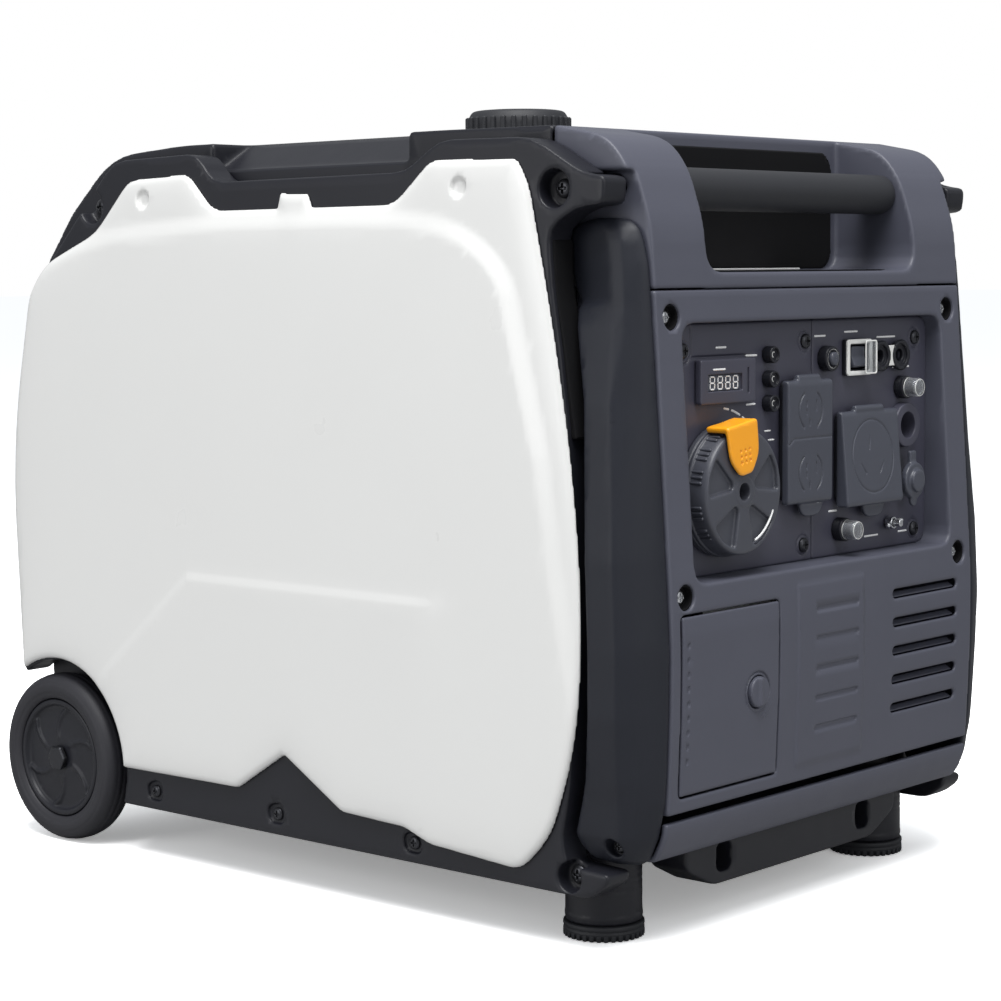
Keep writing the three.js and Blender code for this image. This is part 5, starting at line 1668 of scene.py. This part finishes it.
    def lamp_column(self) -> None:
        """The three lamps beside the meter, each with a pale rim and a painted highlight: a pale arc on its
        lens.
        """
        u, v = self.lamps
        face = self.face
        lamps = Clay.of_node("indicator_lamps", 0.45).soften(0.3)
        rims_and_highlights = []
        for i in (-1, 0, 1):
            at = (u, v + i * self.lamp_pitch)
            lamps.join(rod("y", *at, 5.5, face - 7, face - 0.4, edge=0.7))
            lamps.carve(rod("y", *at, 4.0, face - 8, face - 5.9), blend=0.3)
            rims_and_highlights.append(ring("y", *at, 4.6, 0.7, face - 7.0, face - 6.0, edge=0.2))
            # painted highlight: a pale arc standing in for the light that the lens catches
            rims_and_highlights.append(strand(arc(*at, 1.7, 70, 250, face - 5.7), 0.45))
        settle(lamps.cast("indicator_lamp_sleeves"), FRAME, ["indicator_lamps"])
        settle(Clay.of_shapes(0.3, *rims_and_highlights).cast("indicator_lenses"), PALE, body="root")

    def duplex_outlet(self) -> None:
        """The flip cover with two outlet faces pressed into it, and the outlet behind it."""
        x, z = self.duplex
        front = self.face - 10
        cover = Clay.of_node("duplex_cover", 0.5).soften(0.9)
        blades = ((6.5, 3, 3.2), (-4.5, 4.5, 1.4), (-4.5, -1, 1.4), (-1, -8, 2))
        for middle in (z + 19.5, z - 21.5):
            for start in (125, -55):
                cover.carve(strand(arc(x, middle, 13.2, start, start + 110, front), 0.6), blend=0.4)
            for u, v, half in blades:
                slot = ((x + u, front, middle + v - half), (x + u, front, middle + v + half))
                cover.carve(strand(slot, 0.5), blend=0.3)
        crease = ((x - 24, front + 0.2, z - 2), (x - 19, front - 0.2, z + 1.5), (x + 24, front, z + 1.5))
        cover.carve(strand(crease, 0.35), blend=0.9)
        settle(cover.cast("duplex_cover_moulding"), COVER, ["duplex_cover"])
        dress_node("duplex_outlet", "body", FRAME, 0.7, 0.4)

    def twistlock_outlet(self) -> None:
        """The square flip cover with a circle and three slots pressed into it, and the outlet behind it."""
        x, z = self.twistlock
        cover = Clay.of_node("twistlock_cover", 0.5).soften(0.9)
        middle, slope, radius = self.face - 11.9, (14.5 - 9) / 64, 24.5
        circle = []
        for a in np.linspace(0, 2 * math.pi, 48):
            rise = radius * math.sin(a)
            circle.append((x + radius * math.cos(a), middle + slope * rise, z + rise))
        cover.carve(strand(circle, 0.6), blend=0.4)
        for turn, (u, v) in ((80, (-3, 9)), (-50, (-12, -8)), (55, (10, -8))):
            c, s = math.cos(math.radians(turn)) * 4.2, math.sin(math.radians(turn)) * 4.2
            depth = middle + slope * v
            slot = ((x + u - c, depth, z + v - s), (x + u + c, depth, z + v + s))
            cover.carve(strand(slot, 0.6), blend=0.4)
        settle(cover.cast("twistlock_cover_moulding"), COVER, ["twistlock_cover"])
        dress_node("twistlock_outlet", "body", FRAME, 0.7, 0.4)

    def sockets(self) -> None:
        """The direct-current outlet with its hanging cap, and the pair of coupling sockets."""
        x, z = self.dc
        base = self.face
        wall = (
            (9, base - 7, 0.6), (15.5, base - 7, 1.4), (15.5, base - 0.4), (11, base - 0.4), (11, base + 36),
            (9, base + 36),
        )
        outlet = Clay.of_shapes(0.5, turned("y", x, z, wall), rod("y", x, z, 10, base + 26, base + 36))
        settle(outlet.cast("dc_outlet_socket"), PLATE, ["dc_outlet"])
        cap = Clay.of_node("dc_cap", 0.5, room=1).soften(0.7)
        settle(cap.cast("dc_cap_rubber"), COVER, ["dc_cap"])
        u, v = self.parallel
        wells = [(u + side * 12, v) for side in (-1, 1)]
        front, rear = base - 4.6, base - 3.2
        bridge = slab("y", (u - 5, u + 5), (v - 7, v + 7), front, rear, edge=0.5)
        rims = Clay.of_shapes(0.4, *(rod("y", *at, 9.9, front, rear, edge=0.5) for at in wells), bridge)
        bodies = Clay.of_node("parallel_outlets", 0.5).soften(0.3)
        for at in wells:
            rims.carve(rod("y", *at, 9.0, base - 6, base + 1), blend=0.4)
            bodies.join(ring("y", *at, 8.8, 3.6, base - 5.4, base - 3.0, edge=0.5))
        settle(bodies.cast("parallel_socket_bodies"), FRAME, ["parallel_outlets"])
        settle(rims.cast("parallel_surround"), PALE, body="root")

    def breakers(self) -> None:
        """Two push breakers under clear boots, with pale rings painted as the highlights on the boots' edges.
        """
        base = self.face
        for name, (x, z) in (("ac_breaker", self.ac_breaker), ("dc_breaker", self.dc_breaker)):
            collar = Clay.of_node(name, 0.4).soften(0.3)
            collar.join(ring("y", x, z, 6.6, 2.6, base - 7, base - 0.4, edge=0.5))
            for depth in (1.6, 3.2, 4.8):
                collar.carve(ring("y", x, z, 8.2, 1.0, base - depth - 0.35, base - depth + 0.35), blend=0.3)
            settle(collar.cast(name + "_collar"), FRAME, [name])
            profile = ((0, base - 15, 1), (4.0, base - 14.6, 1), (4.6, base - 13, 1), (4.6, base), (0, base))
            button = Clay.of_shapes(0.35, turned("y", x, z, profile))
            settle(button.cast(name + "_button_round"), COVER, [name + "_button"])
            profile = (
                (0, base - 17, 0.5), (5.6, base - 17, 1.2), (6.6, base - 15.4, 1), (6.6, base - 7.4),
                (5.2, base - 7.4), (5.2, base - 15.2, 1), (0, base - 15.8),
            )
            boot = Clay.of_shapes(0.35, turned("y", x, z, profile))
            settle(boot.cast(name + "_boot_clear"), CLEAR, [name + "_boot"])
            # painted highlight: pale rings at the clear boot's two edges, where light catches them
            rims = Clay.of_shapes(
                0.3,
                ring("y", x, z, 5.7, 0.5, base - 16.9, base - 16.3),
                ring("y", x, z, 6.5, 0.4, base - 8.2, base - 7.5),
            )
            settle(rims.cast(name + "_boot_rims"), PALE, body=frame["nodes"][name + "_boot"]["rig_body"])

    def reset_switch(self) -> None:
        """The larger reset button in its collar, with a pale rim."""
        base = self.face
        x, z = self.reset
        collar = Clay.of_node("reset_switch", 0.4).soften(0.3)
        collar.join(ring("y", x, z, 7, 3, base - 7, base - 0.4, edge=0.8))
        settle(collar.cast("reset_collar"), FRAME, ["reset_switch"])
        profile = ((0, base - 10, 2), (4.6, base - 9.4, 1.6), (4.6, base), (0, base))
        button = Clay.of_shapes(0.35, turned("y", x, z, profile))
        settle(button.cast("reset_button_round"), COVER, ["reset_button"])
        rim = Clay.of_shapes(0.3, ring("y", x, z, 6.3, 0.8, base - 7.4, base - 6.6, edge=0.2))
        settle(rim.cast("reset_rim"), PALE, body="root")

    def throttle_switch(self) -> None:
        """The throttle rocker in its pale edging, half covered by a clear flap."""
        base = self.face
        x, z = self.throttle
        surround = Clay.of_node("throttle_frame", 0.4).soften(0.4)
        settle(surround.cast("throttle_surround"), FRAME, ["throttle_frame"])
        wide, tall = (x - 14.8, x + 14.8), (z - 12.1, z + 12.1)
        edging = Clay.of_shapes(0.4, slab("y", wide, tall, base - 5.2, base - 3.5, corner=2.4, edge=0.5))
        edging.carve(slab("y", (x - 11.4, x + 11.4), (z - 9, z + 9), base - 8, base, corner=1), blend=0.3)
        settle(edging.cast("throttle_edging"), PALE, body="root")
        dress_node("throttle_rocker", "moulding", COVER, 0.4, 0.6)
        pane = slab("y", (x + 0.6, x + 13.6), (z - 11, z + 11), base - 9.4, base - 8.6, corner=1.5)
        settle(Clay.of_shapes(0.35, pane).cast("throttle_flap"), CLEAR, body="root")
        outer = slab("y", (x + 0.2, x + 14), (z - 11.4, z + 11.4), base - 9.8, base - 9.0, corner=1.8)
        trim = Clay.of_shapes(0.3, outer)
        trim.carve(slab("y", (x + 1.2, x + 13), (z - 10.4, z + 10.4), base - 12, base - 6, corner=1.2))
        trim.join(
            rod("z", x + 13.4, base - 5.0, 0.7, z - 10, z + 10),
            slab("y", (x + 12.8, x + 14), (z - 10, z + 10), base - 9.4, base - 4.8),
        )
        settle(trim.cast("throttle_flap_trim"), PALE, body="root")

    def earth_terminal(self) -> None:
        """The threaded earth stud and its wing nut."""
        base = self.face
        x, z = self.ground
        stud = Clay.of_shapes(
            0.35,
            rod("y", x, z, 2.5, base - 12, base + 11, edge=0.5),
            prism("y", hexagon(x, z, 6), base + 3.4, base + 8),
        )
        for i in range(6):
            stud.carve(ring("y", x, z, 2.6, 0.5, base - 11 + i * 1.1, base - 10.6 + i * 1.1), blend=0.2)
        settle(stud.cast("ground_stud_threaded"), STEEL, ["ground_stud"])
        wings = []
        for side in (-1, 1):
            tip = (x + side * 8.0, base - 6.4, z + side * 1.2)
            wings.append(strand(((x + side * 3.2, base - 4, z + side * 0.6), tip), 1.8))
        profile = ((2.9, base - 6.4, 0.5), (4.2, base - 6.4, 0.8), (4.6, base - 1.2, 0.6), (2.9, base - 1.2))
        nut = Clay.of_shapes(0.35, turned("y", x, z, profile), *wings, blend=1.0)
        nut.carve(rod("y", x, z, 2.9, base - 10, base))
        settle(nut.cast("ground_wing_nut"), STEEL, ["ground_nut"])


@dataclass
class Fasteners:
    """Every cross-head screw that shows."""

    head_radius: float = 4.5
    head_height: float = 2.6
    tray_screws: tuple[Corner, ...] = ((58, 48), (66.7, 469.3), (502, 468))
    sill_screws: tuple[Corner, ...] = ((446, 50), (319, 51), (190, 50))
    guard_screw: tuple[float, float] = (29.5, 69)

    def head(self) -> bpy.types.Object:
        """A pan head with a cross recess, its underside at the origin and its top towards +Z.

        Returns:
            The head, to be copied and then removed.
        """
        r, h = self.head_radius, self.head_height
        profile = ((0, 0), (r, 0, 0.3), (r, h * 0.5, 1.2), (r * 0.6, h, 1.5), (0, h))
        clay = Clay.of_shapes(0.3, turned("z", 0, 0, profile))
        for u, v in ((2.4, 0.5), (0.5, 2.4)):
            clay.carve(slab("z", (-u, u), (-v, v), h - 1.5, h + 1, corner=0.3), blend=0.3)
        return local_part("screw_head", clay)

    def build(self, face: FrontFace, panel: ControlPanel) -> None:
        """Set all the screws, as two meshes on the fixed body: the face's bright screws and all the others.

        Args:
            face: The front face, for its wells.
            panel: The control panel, for its plates' screws.
        """
        places: list[tuple[Corner, Corner, float]] = []
        bright = [(at, Facing.FRONT.value, 1.05) for at in face.screws()]
        places += [((x, panel.face - 0.2, z), Facing.FRONT.value, 1.1) for x, z in panel.plate_screws]
        for side, facing in ((-1, Facing.LEFT), (1, Facing.RIGHT)):
            places += [((side * 191, y, z), facing.value, 1.35) for y, z in self.tray_screws]
            places += [((side * 199.8, y, z), facing.value, 1.0) for y, z in self.sill_screws]
            places.append(((side * 186, *self.guard_screw), facing.value, 1.0))
        places += [((s * 150, 583.6, z), Facing.BACK.value, 1.0) for s in (-1, 1) for z in (120, 390)]
        head = self.head()
        settle(scatter("cross_head_screws", head, BLACK_STEEL, places), BLACK_STEEL, body="root")
        settle(scatter("bright_face_screws", head, STEEL, bright), STEEL, body="root")
        bpy.data.objects.remove(head)


@dataclass
class InnerWorks:
    """The pieces inside the casing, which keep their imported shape."""

    finishes: dict[str, Finish] = field(
        default_factory=lambda: {
            "fuel_tank": TANK,
            "engine": CAST,
            "alternator_stator": COPPER,
            "alternator_rotor": STEEL,
            "muffler": STEEL,
            "inverter_module": CAST,
            "battery": RUBBER,
            "air_filter": TANK,
        }
    )

    def build(self) -> None:
        """Give each its finish."""
        for name, finish in self.finishes.items():
            node = frame["nodes"][name]
            node.data.materials.clear()
            node.data.materials.append(finish.material())
            log.info("%s: kept as packed, %s", name, finish.name)


# ---------------------------------------------------------------- studio


@dataclass
class Studio:
    """A pale floor, soft lights and the camera."""

    eye: tuple[float, float, float] = (-1353.8, -912.4, 419.6)
    yaw: float = 48.36
    pitch: float = -5.25
    roll: float = -0.50
    lens: float = 89.63
    sensor: float = 36.0
    floor_half: float = 40.0  # in metres
    look_height: float = 0.25  # where the lamps look, in metres

    def build(self) -> None:
        """Make the floor, the lights and the camera."""
        self.floor()
        self.lamp("key", (-0.9, -0.8, 2.9), 1.8, 116.0)
        self.lamp("fill", (-0.2, -2.6, 1.2), 1.6, 12.0)
        self.lamp("side", (-2.8, 0.9, 0.9), 1.5, 21.0)
        self.sky()
        bpy.context.scene.view_settings.view_transform = "Standard"
        self.camera()

    @staticmethod
    def show(
        tree: bpy.types.NodeTree, lit: bpy.types.Node, seen: bpy.types.Node, output: bpy.types.Node
    ) -> None:
        """Feed an output from one shader where the camera looks at it and from another elsewhere.

        Args:
            tree: The node tree.
            lit: The shader that the other light rays meet.
            seen: The shader that the camera sees.
            output: The tree's output.
        """
        ray = tree.nodes.new("ShaderNodeLightPath")
        mix = tree.nodes.new("ShaderNodeMixShader")
        tree.links.new(ray.outputs["Is Camera Ray"], mix.inputs[0])
        tree.links.new(lit.outputs[0], mix.inputs[1])
        tree.links.new(seen.outputs[0], mix.inputs[2])
        tree.links.new(mix.outputs[0], output.inputs["Surface"])

    def sky(self) -> None:
        """A white backdrop that lights the generator only softly."""
        sky = bpy.data.worlds.new("studio")
        bpy.context.scene.world = sky
        sky.use_nodes = True
        tree = sky.node_tree
        backdrop = tree.nodes["Background"]
        backdrop.inputs["Color"].default_value = (1.0, 1.0, 1.0, 1.0)
        backdrop.inputs["Strength"].default_value = 1.0
        light = tree.nodes.new("ShaderNodeBackground")
        light.inputs["Color"].default_value = (0.94, 0.97, 1.0, 1.0)
        light.inputs["Strength"].default_value = 0.44
        self.show(tree, light, backdrop, tree.nodes["World Output"])

    def floor(self) -> None:
        """A wide plain floor."""
        mesh = bpy.data.meshes.new("floor")
        half = self.floor_half
        corners = [(-half, -half, 0), (half, -half, 0), (half, half, 0), (-half, half, 0)]
        mesh.from_pydata(corners, [], [(0, 1, 2, 3)])
        floor = linked("floor", mesh)
        paint = FLOOR.material()
        mesh.materials.append(paint)
        tree = paint.node_tree
        pale = tree.nodes.new("ShaderNodeBsdfDiffuse")
        pale.inputs["Color"].default_value = (1.75, 1.75, 1.75, 1.0)
        glow = tree.nodes.new("ShaderNodeEmission")
        glow.inputs["Strength"].default_value = 0.24
        both = tree.nodes.new("ShaderNodeAddShader")
        tree.links.new(pale.outputs[0], both.inputs[0])
        tree.links.new(glow.outputs[0], both.inputs[1])
        self.show(tree, tree.nodes["Principled BSDF"], both, tree.nodes["Material Output"])

    def lamp(self, name: str, place: Corner, size: float, power: float) -> None:
        """A square soft light that looks at the generator.

        Args:
            name: Its name.
            place: Where it hangs, in metres.
            size: Its side, in metres.
            power: Its power, in watts.
        """
        light = bpy.data.lights.new(name, "AREA")
        light.size = size
        light.energy = power
        lamp = linked(name, light)
        lamp.location = place
        ahead = Vector((0, 0, self.look_height)) - Vector(place)
        lamp.rotation_euler = ahead.to_track_quat("-Z", "Y").to_euler()

    def camera(self) -> None:
        """The camera, at the height of the grip and off the left front corner."""
        yaw, pitch, roll = (math.radians(a) for a in (self.yaw, self.pitch, self.roll))
        forward = Vector((math.sin(yaw) * math.cos(pitch), math.cos(yaw) * math.cos(pitch), math.sin(pitch)))
        right = Vector((math.cos(yaw), -math.sin(yaw), 0))
        up = right.cross(forward)
        level = right * math.cos(roll) + up * math.sin(roll)
        upright = up * math.cos(roll) - right * math.sin(roll)
        lens = bpy.data.cameras.new("camera")
        lens.lens = self.lens
        lens.sensor_width = self.sensor
        camera = linked("camera", lens)
        turn = Matrix((level, upright, -forward)).transposed().to_4x4()
        camera.matrix_world = Matrix.Translation(world(*self.eye)) @ turn
        bpy.context.scene.camera = camera


def main() -> None:
    """Build the generator and its studio."""
    logging.basicConfig(level=logging.INFO, format="%(message)s")
    Studio().build()
    face, panel = FrontFace(), ControlPanel()
    casing = (SidePanels(), SideFrames(), face, GripArch(), TopAndRear())
    for assembly in (*casing, RunningGear(), panel, InnerWorks()):
        log.info("%s", type(assembly).__name__)
        assembly.build()
    Fasteners().build(face, panel)


if __name__ == "__main__":
    main()
